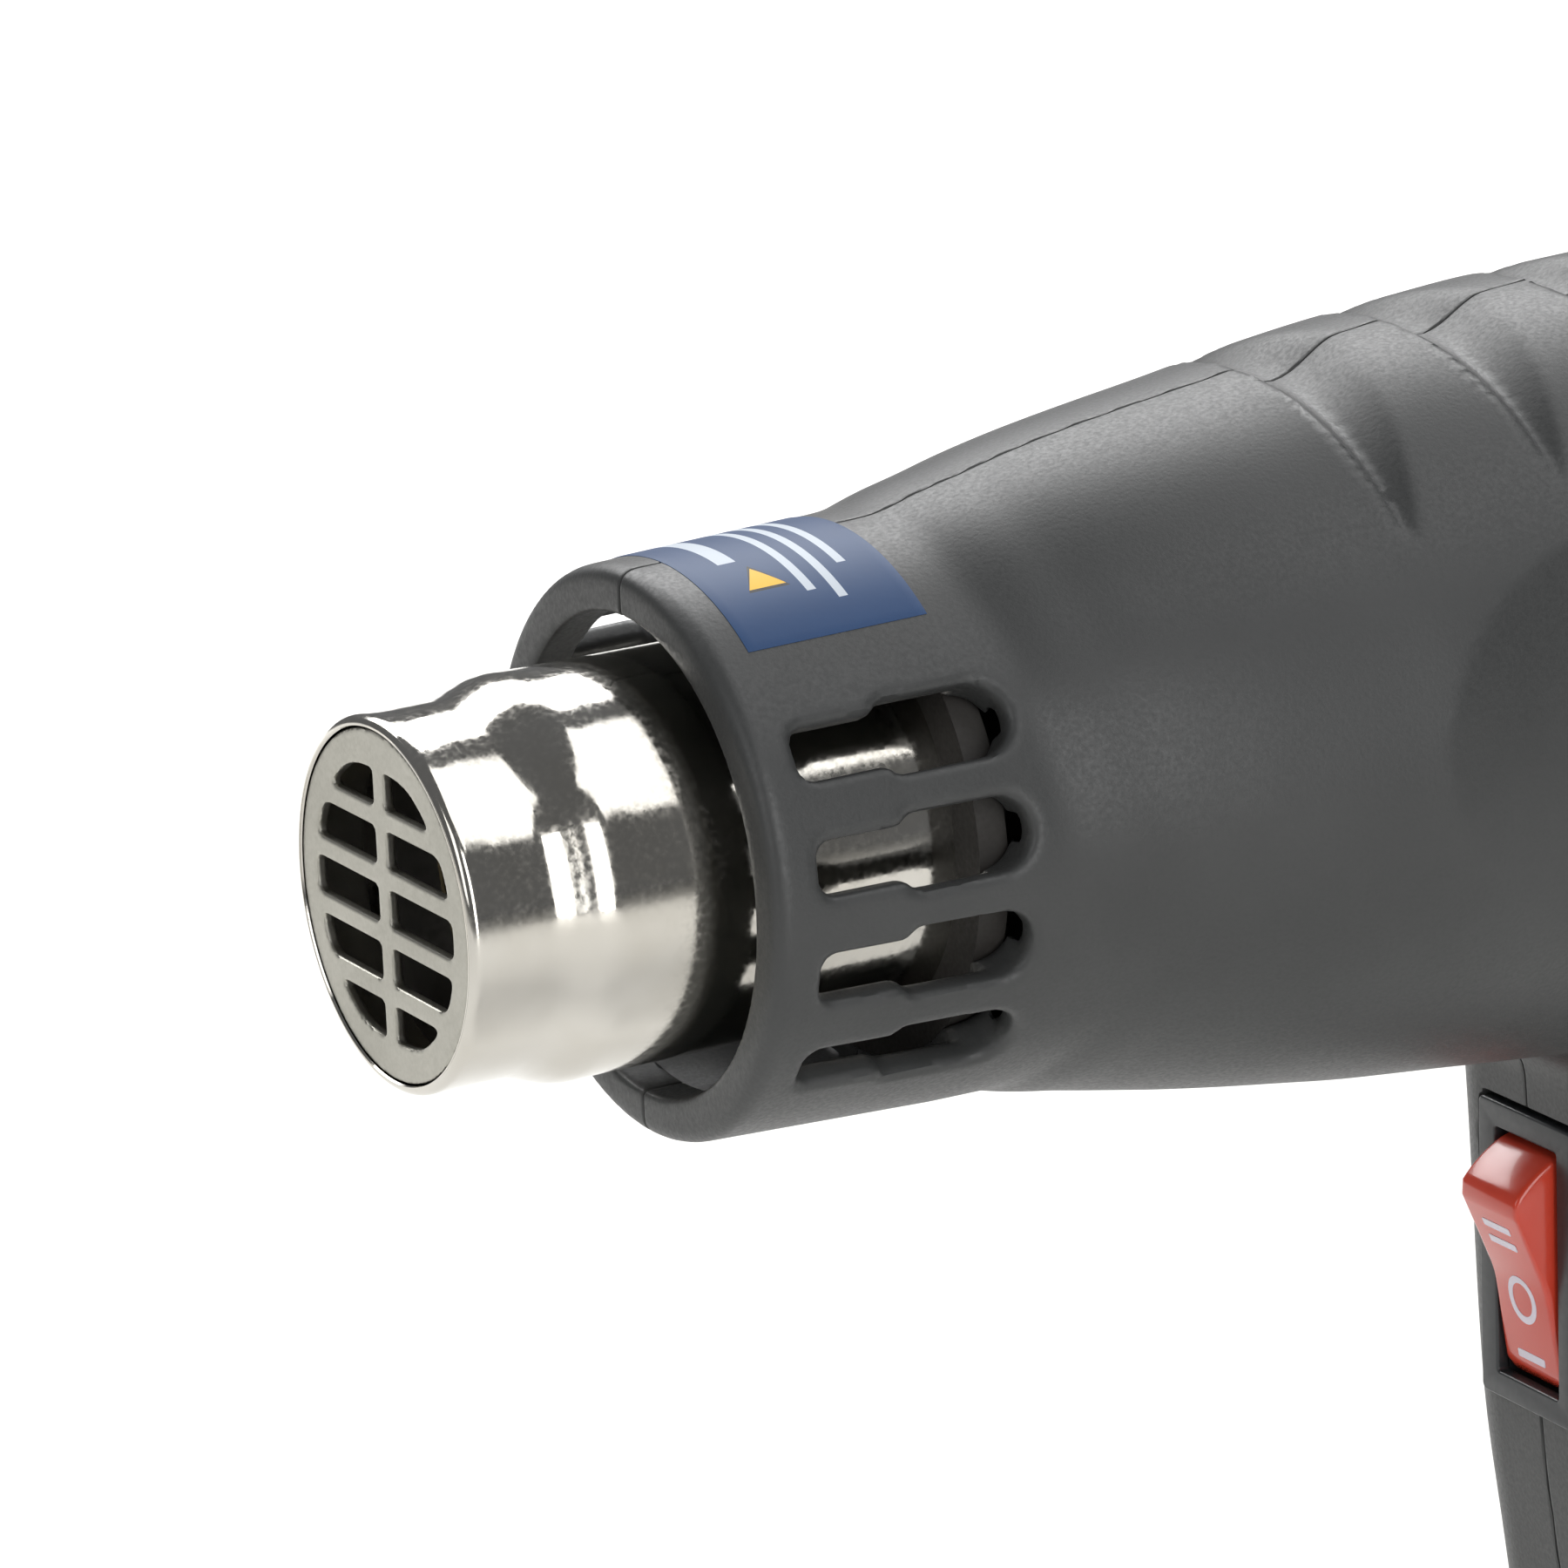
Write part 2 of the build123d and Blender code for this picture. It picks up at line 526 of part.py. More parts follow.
def lead(points, bend):
    """Insulated wire of 2.2 mm along a path of straight runs and tangent arcs."""
    path = FilletPolyline(*points, radius=bend)
    start = path @ 0
    section = Plane(origin=start, z_dir=path % 0) * Circle(1.1)
    return sweep(section, path)


def make_leads():
    """Motor leads down one side of the handle, supply leads up the other."""
    motor = [lead([(ENDCAP_X + 6.6, y, -1), (ENDCAP_X + 11, y, -2), (178, y, -18), (158, y, -31),
                   (156, y, -42), (153, y, -82)], 2.0) for y in (-9.8, 9.8)]
    supply = [lead([(150, y, -128.5), (146, y, -112), (143, y, -92), (148, y, -78)], 4.0)
              for y in (-9.0, -5.0)]
    return motor, supply


def save(name, shape):
    """Write one node's STEP file; a list of shapes becomes one node of separate solids."""
    solids = shape if isinstance(shape, list) else [shape]
    solids = [solid for item in solids for solid in item.solids()]
    export_step(Compound(children=solids) if len(solids) > 1 else solids[0], f"parts/{name}.step")


def main():
    """Build every node and write it to the parts folder."""
    os.makedirs("parts", exist_ok=True)
    left, right = make_housing()
    core, coils, sleeve, ends, cutout = make_heater()
    can, magnets, end_cap, bushings, brushes, terminals = make_motor()
    shaft, armature, windings, commutator = make_rotor()
    bezel, body, pin, bridge, tabs = make_switch()
    board, capacitor, choke, diodes = make_electronics()
    inlet, clamp, clamp_screws, terminal = make_cord_entry()
    motor_leads, supply_leads = make_leads()
    nodes = {
        "housing_left": left, "housing_right": right, "housing_screws": make_screws(),
        "rear_cap": make_rear_cap(), "cap_screws": make_cap_screws(), "intake_screen": make_intake_screen(),
        "standing_ring": pipe(STAND_R[1], STAND_R[0], *STAND_X), "label": make_label(),
        "nozzle_tube": make_nozzle_tube(), "nozzle_grille": make_nozzle_grille(), "seat_ring": seat_ring(),
        "flange_screws": make_flange_screws(), "heater_core": core, "heater_coils": coils,
        "mica_sleeve": sleeve, "heater_end_discs": ends, "thermal_cutout": cutout,
        "fan_duct": make_fan_duct(), "fan": make_fan(), "motor_can": can, "motor_magnets": magnets,
        "motor_end_cap": end_cap, "motor_bushings": bushings, "carbon_brushes": brushes,
        "motor_terminals": terminals, "motor_shaft": shaft, "motor_armature": armature,
        "motor_windings": windings, "commutator": commutator, "motor_mount": make_motor_mount(),
        "switch_bezel": bezel, "switch_body": body, "switch_rocker": make_rocker(), "rocker_pin": pin,
        "contact_bridge": bridge, "switch_terminals": tabs, "control_board": board,
        "capacitor": capacitor, "choke": choke, "rectifier_diodes": diodes, "cord_inlet": inlet,
        "cord_clamp": clamp, "clamp_screws": clamp_screws, "terminal_block": terminal,
        "motor_leads": motor_leads, "supply_leads": supply_leads,
    }
    for name, shape in nodes.items():
        save(name, shape)


if __name__ == "__main__":
    main()
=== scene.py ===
import logging
from dataclasses import dataclass
from enum import Enum
from math import atan2, cos, hypot, pi, radians, sin, sqrt, tan
from typing import Callable, Sequence

import bmesh
import bpy
import numpy as np
from mathutils import Matrix, Vector


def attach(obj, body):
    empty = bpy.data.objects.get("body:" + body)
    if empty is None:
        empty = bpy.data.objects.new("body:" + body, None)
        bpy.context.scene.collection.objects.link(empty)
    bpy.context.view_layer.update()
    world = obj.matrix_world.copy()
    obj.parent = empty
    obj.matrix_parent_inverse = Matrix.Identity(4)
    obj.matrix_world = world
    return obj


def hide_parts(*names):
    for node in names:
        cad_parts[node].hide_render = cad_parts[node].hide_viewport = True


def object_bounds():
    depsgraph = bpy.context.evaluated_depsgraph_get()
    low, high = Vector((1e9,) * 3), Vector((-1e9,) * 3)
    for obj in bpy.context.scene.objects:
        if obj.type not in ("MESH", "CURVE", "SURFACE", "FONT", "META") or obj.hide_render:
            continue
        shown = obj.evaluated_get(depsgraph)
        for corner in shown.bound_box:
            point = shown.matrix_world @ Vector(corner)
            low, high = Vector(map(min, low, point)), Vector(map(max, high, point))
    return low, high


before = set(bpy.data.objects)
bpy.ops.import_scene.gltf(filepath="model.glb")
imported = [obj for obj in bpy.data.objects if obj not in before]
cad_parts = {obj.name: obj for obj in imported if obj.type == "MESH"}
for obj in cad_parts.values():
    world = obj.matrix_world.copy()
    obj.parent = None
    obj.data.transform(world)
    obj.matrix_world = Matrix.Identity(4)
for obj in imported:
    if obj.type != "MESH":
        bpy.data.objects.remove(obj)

CAD_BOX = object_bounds()
MM = 0.001
GUN, ROCKER = "gun", "rocker"
log = logging.getLogger("heat_gun")

Array = np.ndarray
Point = tuple[float, float]
Field = Callable[[Array, Array, Array], Array]


# ---------------------------------------------------------------- finishes


def linear(hex_colour: str) -> tuple[float, float, float, float]:
    """Turn an sRGB hex colour into linear light.

    Args:
        hex_colour: six digits, such as "3A3B3C".

    Returns:
        Linear red, green and blue, and an alpha of 1.
    """
    channels = [int(hex_colour[i:i + 2], 16) / 255 for i in (0, 2, 4)]
    light = [c / 12.92 if c <= 0.04045 else ((c + 0.055) / 1.055) ** 2.4 for c in channels]
    return (*light, 1.0)


def add(tree: bpy.types.NodeTree, kind: str, links: dict | None = None, **settings) -> bpy.types.Node:
    """Add one node with its settings, its input values and its links.

    Args:
        tree: the node tree to add to.
        kind: the node's type name.
        links: input name or number, mapped to a value or to another node's output socket.
        settings: attributes of the node.

    Returns:
        The new node.
    """
    node = tree.nodes.new(kind)
    for name, value in settings.items():
        setattr(node, name, value)
    for key, value in (links or {}).items():
        socket = node.inputs[key]
        if isinstance(value, bpy.types.NodeSocket):
            tree.links.new(value, socket)
        else:
            socket.default_value = value
    return node


class Make(Enum):
    """How a surface was made: the grain of a brushed or rolled one is drawn out along X."""

    SPARK_ERODED = "moulded in a spark-eroded tool"
    POLISHED_MOULD = "moulded in a polished tool"
    PLATED = "plated and polished"
    BRUSHED = "brushed or rolled"
    GRAINY = "sintered, fired or carved"


BRUSHED_STRETCH = (0.08, 1.0, 1.0)


@dataclass(frozen=True)
class Finish:
    """One finish: two close sRGB colours, response to light, and a grain size in millimetres."""

    name: str
    colour: str
    second: str
    roughness: float
    make: Make
    grain_mm: float
    bump_mm: float = 0.01
    metallic: float = 0.0
    ior: float = 1.5
    coat: float = 0.0
    vary: float = 0.15
    patch_mm: float = 14.0

    def build(self) -> bpy.types.Material:
        """Make the material's nodes.

        Returns:
            The material.
        """
        material = bpy.data.materials.new(self.name)
        material.use_nodes = True
        tree = material.node_tree
        tree.nodes.clear()
        place = add(tree, "ShaderNodeTexCoord").outputs["Object"]
        if self.make is Make.BRUSHED:
            place = add(tree, "ShaderNodeMapping", {"Vector": place, "Scale": BRUSHED_STRETCH}).outputs[0]
        fine, broad = (add(tree, "ShaderNodeTexNoise", {"Vector": place, "Scale": 1 / (size * MM), "Detail": detail})
                       for size, detail in ((self.grain_mm, 2.0), (self.patch_mm, 3.0)))
        mask = add(tree, "ShaderNodeMapRange", {"Value": broad.outputs[0], "From Min": 0.35, "From Max": 0.65})
        tint = add(tree, "ShaderNodeMix", {0: mask.outputs[0], 6: linear(self.colour), 7: linear(self.second)},
                   data_type="RGBA")
        rough = add(tree, "ShaderNodeMapRange", {
            "Value": fine.outputs[0], "From Min": 0.3, "From Max": 0.7,
            "To Min": self.roughness * (1 - self.vary), "To Max": min(self.roughness * (1 + self.vary), 1.0)})
        bump = add(tree, "ShaderNodeBump", {"Height": fine.outputs[0], "Distance": self.bump_mm * MM})
        shader = add(tree, "ShaderNodeBsdfPrincipled", {
            "Base Color": tint.outputs[2], "Roughness": rough.outputs[0], "Normal": bump.outputs[0],
            "Metallic": self.metallic, "Coat Weight": self.coat})
        if self.metallic < 0.5:
            shader.inputs["IOR"].default_value = self.ior
        add(tree, "ShaderNodeOutputMaterial", {"Surface": shader.outputs[0]})
        return material


# Glass-filled nylon off a spark-eroded tool: a charcoal skin whose fine pits scatter the light.
HOUSING = Finish("nylon_spark_eroded_charcoal", "343535", "383939", 0.46, Make.SPARK_ERODED, 0.42, 0.022)
# Nylon off a polished tool: darker and smoother than the housing, with a soft sheen.
DARK = Finish("nylon_polished_black", "303234", "2B2D2F", 0.36, Make.POLISHED_MOULD, 0.8, 0.004)
# Steel sheet plated with nickel: bright and slightly hazy, with a faint warmth.
NICKEL = Finish("steel_nickel_plated", "CFCCC5", "C3BFB6", 0.12, Make.PLATED, 0.6, 0.004, 1.0, vary=0.5)
# Stainless sheet, rolled and tumbled: warm grey with a dull sheen.
SATIN = Finish("stainless_rolled_satin", "B3B1A8", "A9A79E", 0.42, Make.GRAINY, 0.35, 0.004, 1.0)
# Zinc-plated screw steel: bright blue-grey, slightly hazy.
ZINC = Finish("steel_zinc_plated", "C3C6CA", "B4B7BC", 0.28, Make.PLATED, 0.5, 0.004, 1.0)
# Rolled steel of the motor can: fine lines along the strip.
ROLLED = Finish("steel_rolled_bright", "A9ABAE", "9B9DA1", 0.33, Make.BRUSHED, 0.12, 0.003, 1.0)
# Pressed mica board: amber flakes under a weak gloss.
MICA = Finish("mica_board_pressed", "9C8B63", "85764F", 0.38, Make.GRAINY, 1.6, 0.02, coat=0.2, patch_mm=4.0)
# Fired steatite: chalky off-white with faint firing stains.
CERAMIC = Finish("steatite_fired", "D9D1C0", "CBBF9F", 0.7, Make.GRAINY, 0.3, 0.012)
# Resistance wire after use: grey-brown oxide with a dull metal sheen.
OXIDE = Finish("nichrome_wire_oxidised", "6E6560", "4F4743", 0.5, Make.GRAINY, 0.2, 0.004, 1.0, patch_mm=5.0)
# Glass-fibre filled resin: near black, dry and slightly fibrous.
FIBRE = Finish("resin_glass_filled", "2A2826", "33302D", 0.6, Make.GRAINY, 0.5, 0.015)
# Ferrite: flat dark grey with a ground grain.
FERRITE = Finish("ferrite_ground", "3B3B3D", "333335", 0.55, Make.GRAINY, 0.3, 0.008)
# Electrical steel stack: blued edges of thin sheets.
STACK = Finish("steel_laminated", "7C7F86", "666A72", 0.4, Make.BRUSHED, 0.3, 0.01, 1.0)
# Enamelled copper: red-brown metal under clear varnish.
COPPER = Finish("copper_enamelled", "B5653A", "A4552D", 0.25, Make.PLATED, 0.5, 0.01, 1.0, coat=0.4)
# Stamped brass: yellow, bright, with light tool marks.
BRASS = Finish("brass_stamped", "D3B069", "C29C52", 0.24, Make.BRUSHED, 0.2, 0.003, 1.0)
# Sintered bronze soaked in oil: brown and slightly shiny.
BRONZE = Finish("bronze_sintered", "8A6238", "77522C", 0.4, Make.GRAINY, 0.15, 0.006, 1.0)
# Pressed graphite: black with a grey shine.
CARBON = Finish("graphite_pressed", "1E1E1F", "262627", 0.42, Make.GRAINY, 0.2, 0.005)
# Glossy polycarbonate: orange-red, with a clear even shine.
RED = Finish("polycarbonate_gloss_red", "C4402C", "BE3B28", 0.2, Make.POLISHED_MOULD, 1.2, 0.003, coat=0.25)
# Pad-printed white ink on the rocker: pale and slightly soft.
WHITE_INK = Finish("ink_pad_printed_white", "D9D2DC", "D2CBD6", 0.45, Make.GRAINY, 0.3, 0.003)
# Nitrile rubber: dull black that goes greyer where it is rubbed.
RUBBER = Finish("rubber_nitrile", "232324", "2B2B2C", 0.75, Make.GRAINY, 0.25, 0.012, patch_mm=6.0)
# Glass-epoxy board under green lacquer.
BOARD = Finish("board_green_lacquer", "1E5A38", "194E30", 0.35, Make.POLISHED_MOULD, 0.7, 0.006, coat=0.3)
# Capacitor case of yellow film.
YELLOW = Finish("polyester_case_yellow", "C9A227", "C09A20", 0.3, Make.POLISHED_MOULD, 0.8, 0.003)
# Black epoxy of diodes and choke.
EPOXY = Finish("epoxy_black", "1B1B1D", "222224", 0.35, Make.POLISHED_MOULD, 0.6, 0.004)
# Silicone wire cover, red and blue.
WIRE_RED = Finish("silicone_cover_red", "A3251C", "9A2018", 0.45, Make.POLISHED_MOULD, 0.8, 0.003)
WIRE_BLUE = Finish("silicone_cover_blue", "2A4F9E", "264893", 0.45, Make.POLISHED_MOULD, 0.8, 0.003)
# Phenolic moulding: chocolate brown with a faint marbling.
PHENOLIC = Finish("phenolic_brown", "4A2E1C", "3C2516", 0.4, Make.GRAINY, 0.8, 0.005)


@dataclass(frozen=True)
class LabelFinish:
    """Printed vinyl film: blue ground, a plain triangle, and plain bars where text would stand."""

    name: str = "vinyl_film_printed"
    blue: str = "143A66"
    second_blue: str = "173F6C"
    yellow: str = "F0B81C"
    ink: str = "1A1A1A"
    white: str = "C3CCD6"
    bars: tuple[tuple[float, float, float, float], ...] = (
        (0.20, 0.30, 0.38, 0.95), (0.49, 0.54, 0.17, 0.95), (0.62, 0.67, 0.12, 0.95), (0.75, 0.80, 0.26, 0.80))
    mark: tuple[float, float, float, float] = (0.32, 0.115, 0.21, 0.13)
    mark_rim: float = 0.012

    def build(self) -> bpy.types.Material:
        """Make the material: the map's U runs along the barrel and V up from the near edge.

        Returns:
            The material.
        """
        material = bpy.data.materials.new(self.name)
        material.use_nodes = True
        tree = material.node_tree
        tree.nodes.clear()
        spot = add(tree, "ShaderNodeUVMap", uv_map="film").outputs[0]
        split = add(tree, "ShaderNodeSeparateXYZ", {0: spot})
        u, v = split.outputs[0], split.outputs[1]
        where = add(tree, "ShaderNodeTexCoord").outputs["Object"]
        colour = self.ground(tree, where)
        for u0, u1, v0, v1 in self.bars:
            mask = self.both(tree, self.between(tree, u, u0, u1), self.between(tree, v, v0, v1))
            colour = self.paint(tree, mask, colour, self.white)
        for inset, paint in ((0.0, self.ink), (self.mark_rim, self.yellow)):
            colour = self.paint(tree, self.triangle(tree, u, v, inset), colour, paint)
        shader = add(tree, "ShaderNodeBsdfPrincipled", {"Base Color": colour, "Roughness": 0.5, "IOR": 1.4})
        grain = add(tree, "ShaderNodeTexNoise", {"Vector": where, "Scale": 1 / (0.9 * MM), "Detail": 1.0})
        bump = add(tree, "ShaderNodeBump", {"Height": grain.outputs[0], "Distance": 0.004 * MM})
        tree.links.new(bump.outputs[0], shader.inputs["Normal"])
        add(tree, "ShaderNodeOutputMaterial", {"Surface": shader.outputs[0]})
        return material

    def ground(self, tree: bpy.types.NodeTree, where: bpy.types.NodeSocket) -> bpy.types.NodeSocket:
        """Blue ink with a faint mottle.

        Args:
            tree: the material's tree.
            where: the piece's own coordinates.

        Returns:
            The colour's socket.
        """
        noise = add(tree, "ShaderNodeTexNoise", {"Vector": where, "Scale": 1 / (3 * MM), "Detail": 2.0})
        blues = {0: noise.outputs[0], 6: linear(self.blue), 7: linear(self.second_blue)}
        return add(tree, "ShaderNodeMix", blues, data_type="RGBA").outputs[2]

    def between(self, tree: bpy.types.NodeTree, value: bpy.types.NodeSocket, low: float,
                high: float) -> bpy.types.NodeSocket:
        """1 where the value lies between two limits, else 0.

        Args:
            tree: the material's tree.
            value: the value to test.
            low: the lower limit.
            high: the upper limit.

        Returns:
            The mask's socket.
        """
        middle, half = (low + high) / 2, (high - low) / 2
        return add(tree, "ShaderNodeMath", {0: value, 1: middle, 2: half}, operation="COMPARE").outputs[0]

    def both(self, tree: bpy.types.NodeTree, one: bpy.types.NodeSocket,
             other: bpy.types.NodeSocket) -> bpy.types.NodeSocket:
        """1 where both masks are 1."""
        return add(tree, "ShaderNodeMath", {0: one, 1: other}, operation="MINIMUM").outputs[0]

    def paint(self, tree: bpy.types.NodeTree, mask: bpy.types.NodeSocket, under: bpy.types.NodeSocket,
              over: str) -> bpy.types.NodeSocket:
        """Lay a colour over another where the mask is 1.

        Args:
            tree: the material's tree.
            mask: where it is laid.
            under: the colour below.
            over: the colour above, in hex.

        Returns:
            The colour's socket.
        """
        mix = add(tree, "ShaderNodeMix", {0: mask, 6: under, 7: linear(over)}, data_type="RGBA")
        return mix.outputs[2]

    def triangle(self, tree: bpy.types.NodeTree, u: bpy.types.NodeSocket, v: bpy.types.NodeSocket,
                 inset: float) -> bpy.types.NodeSocket:
        """Mask of the triangle: base across U at the near side, point up V.

        Args:
            tree: the material's tree.
            u: the map's U.
            v: the map's V.
            inset: how far inside the mark's edge the mask stays.

        Returns:
            The mask's socket.
        """
        centre, half, base, height = self.mark
        half, base, height = half - inset, base + inset, height - 2.4 * inset
        across = add(tree, "ShaderNodeMath", {0: u, 1: centre}, operation="SUBTRACT").outputs[0]
        across = add(tree, "ShaderNodeMath", {0: across}, operation="ABSOLUTE").outputs[0]
        rise = add(tree, "ShaderNodeMath", {0: v, 1: base}, operation="SUBTRACT").outputs[0]
        falling = {0: rise, 1: -half / height, 2: half}
        limit = add(tree, "ShaderNodeMath", falling, operation="MULTIPLY_ADD").outputs[0]
        inside = add(tree, "ShaderNodeMath", {0: across, 1: limit}, operation="LESS_THAN").outputs[0]
        above = add(tree, "ShaderNodeMath", {0: rise, 1: 0.0}, operation="GREATER_THAN").outputs[0]
        return self.both(tree, inside, above)


class Paints:
    """Keeps one built material for each finish."""

    def __init__(self) -> None:
        """Start with none built."""
        self.built: dict[str, bpy.types.Material] = {}

    def get(self, finish: Finish | LabelFinish) -> bpy.types.Material:
        """The finish's material, built on first use."""
        if finish.name not in self.built:
            self.built[finish.name] = finish.build()
        return self.built[finish.name]


PAINTS = Paints()


# ---------------------------------------------------------------- mesh helpers


def place(name: str, mesh: bpy.types.Mesh, finish: Finish | LabelFinish, body: str, slot: str,
          nodes: Sequence[str] = ()) -> bpy.types.Object:
    """Turn a mesh into a piece that rides on a body and may stand for CAD nodes.

    Args:
        name: the piece's name.
        mesh: the finished mesh, in metres, in the frame.
        finish: what it is made of.
        body: the CAD body it moves with.
        slot: the record's material slot; not used.
        nodes: the CAD nodes it replaces.

    Returns:
        The piece.
    """
    piece = bpy.data.objects.new(name, mesh)
    bpy.context.scene.collection.objects.link(piece)
    if not mesh.materials:
        mesh.materials.append(PAINTS.get(finish))
    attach(piece, body)
    if nodes:
        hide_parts(*nodes)
    log.info("%s: %d faces on %s", name, len(mesh.polygons), body)
    return piece


def mesh_from(name: str, points: Array, faces: Sequence, smooth_deg: float = 35.0) -> bpy.types.Mesh:
    """Mesh from points and faces, shaded smooth.

    Args:
        name: the mesh's name.
        points: the points in millimetres.
        faces: each face's point numbers.
        smooth_deg: edges above this angle stay sharp.

    Returns:
        The mesh, in metres.
    """
    mesh = bpy.data.meshes.new(name)
    mesh.from_pydata([tuple(p) for p in np.asarray(points) * MM], [], faces)
    mesh.validate()
    soften(mesh, smooth_deg)
    return mesh


def soften(mesh: bpy.types.Mesh, smooth_deg: float) -> None:
    """Shade smooth, with edges above the angle kept sharp."""
    mesh.shade_smooth()
    mesh.set_sharp_from_angle(angle=radians(smooth_deg))


def lathe(name: str, outline: Sequence[Point], steps: int = 160, smooth_deg: float = 35.0,
          centre: Point = (0.0, 0.0)) -> bpy.types.Mesh:
    """Closed ring turned about the X axis from a closed outline of (x, radius), clockwise as drawn.

    Args:
        name: the mesh's name.
        outline: corner points in millimetres, with none on the axis.
        steps: how many times the outline is repeated round the axis.
        smooth_deg: edges above this angle stay sharp.
        centre: (y, z) of the axis.

    Returns:
        The mesh, with its faces pointing outwards.
    """
    count = len(outline)
    angles = np.linspace(0, 2 * pi, steps, endpoint=False)
    points = [(x, centre[0] + r * cos(a), centre[1] + r * sin(a)) for a in angles for x, r in outline]
    faces = []
    for i in range(steps):
        a, b = i * count, (i + 1) % steps * count
        faces += [(a + j, a + (j + 1) % count, b + (j + 1) % count, b + j) for j in range(count)]
    mesh = mesh_from(name, np.array(points), faces, smooth_deg)
    outward(mesh, smooth_deg)
    return mesh


def outward(mesh: bpy.types.Mesh, smooth_deg: float, weld: float = 0.0) -> None:
    """Point every face outwards and set the shading again.

    Args:
        mesh: the mesh to change.
        smooth_deg: edges above this angle stay sharp.
        weld: points closer than this, in metres, are merged first.
    """
    work = bmesh.new()
    work.from_mesh(mesh)
    if weld:
        bmesh.ops.remove_doubles(work, verts=work.verts, dist=weld)
    bmesh.ops.recalc_face_normals(work, faces=work.faces)
    work.to_mesh(mesh)
    work.free()
    soften(mesh, smooth_deg)


def rounded(corners: Sequence[tuple[float, float, float]], steps: int = 5) -> list[Point]:
    """Closed outline with its corners rounded.

    Args:
        corners: (x, y, radius) in order.
        steps: points on each arc.

    Returns:
        The outline's points.
    """
    points = []
    for i, (x, y, radius) in enumerate(corners):
        here = Vector((x, y))
        before = (Vector(corners[i - 1][:2]) - here).normalized()
        after = (Vector(corners[(i + 1) % len(corners)][:2]) - here).normalized()
        if radius <= 0:
            points.append((x, y))
            continue
        half = before.angle(after) / 2
        reach = radius / tan(half)
        middle = here + (before + after).normalized() * radius / sin(half)
        start, end = here + before * reach - middle, here + after * reach - middle
        turn = atan2(start.x * end.y - start.y * end.x, start.dot(end))
        for k in range(steps + 1):
            spoke = Matrix.Rotation(turn * k / steps, 2) @ start
            points.append((middle.x + spoke.x, middle.y + spoke.y))
    return points


def rectangle(half_u: float, half_v: float, corner: float, steps: int, middle_v: float = 0.0) -> list[Point]:
    """Closed outline of a rectangle with rounded corners.

    Args:
        half_u: half its width.
        half_v: half its height.
        corner: radius of the corners.
        steps: points on each corner's arc.
        middle_v: where its middle lies along V.

    Returns:
        The outline's points.
    """
    low, high = middle_v - half_v, middle_v + half_v
    return rounded([(-half_u, low, corner), (half_u, low, corner), (half_u, high, corner),
                    (-half_u, high, corner)], steps)


def plate(name: str, outlines: Sequence[Sequence[Point]], low: float, high: float, bevel: float,
          frame_of: Matrix, bevel_steps: int = 2, smooth_deg: float = 35.0) -> bpy.types.Mesh:
    """Flat plate with holes and rounded rims, drawn as a filled curve and set in its place.

    Args:
        name: the mesh's name.
        outlines: the outer outline and then the holes, as (u, v) points in millimetres.
        low: where the plate starts along its own normal.
        high: where it ends.
        bevel: radius of the rims.
        frame_of: matrix from (u, v, normal) in millimetres to the frame in metres.
        bevel_steps: faces across each rim.
        smooth_deg: edges above this angle stay sharp.

    Returns:
        The mesh.
    """
    curve = bpy.data.curves.new(name, "CURVE")
    curve.dimensions = "2D"
    curve.fill_mode = "BOTH"
    curve.extrude = (high - low) / 2 - bevel
    curve.bevel_depth = bevel
    curve.bevel_resolution = bevel_steps
    curve.offset = -bevel
    for outline in outlines:
        spline = curve.splines.new("POLY")
        spline.points.add(len(outline) - 1)
        for point, (u, v) in zip(spline.points, outline):
            point.co = (u, v, 0, 1)
        spline.use_cyclic_u = True
    holder = bpy.data.objects.new(name + "_curve", curve)
    bpy.context.scene.collection.objects.link(holder)
    depsgraph = bpy.context.evaluated_depsgraph_get()
    mesh = bpy.data.meshes.new_from_object(holder.evaluated_get(depsgraph), depsgraph=depsgraph)
    bpy.data.objects.remove(holder)
    bpy.data.curves.remove(curve)
    mesh.transform(Matrix.Translation((0, 0, (low + high) / 2)))
    mesh.transform(frame_of)
    mesh.name = name
    mesh.materials.clear()
    outward(mesh, smooth_deg, weld=1e-7)
    return mesh


# ---------------------------------------------------------------- shapes as distance fields


def smooth_max(a: Array, b: Array, blend: float) -> Array:
    """Larger of two fields, with the crossing rounded over the blend width."""
    share = np.clip(0.5 + 0.5 * (a - b) / blend, 0.0, 1.0)
    return b + (a - b) * share + blend * share * (1 - share)


def smooth_min(a: Array, b: Array, blend: float) -> Array:
    """Smaller of two fields, with the crossing filled over the blend width."""
    return -smooth_max(-a, -b, blend)


def smooth_step(low: float, high: float, value: Array) -> Array:
    """0 below low, 1 above high, smooth between."""
    share = np.clip((value - low) / (high - low), 0.0, 1.0)
    return share * share * (3 - 2 * share)


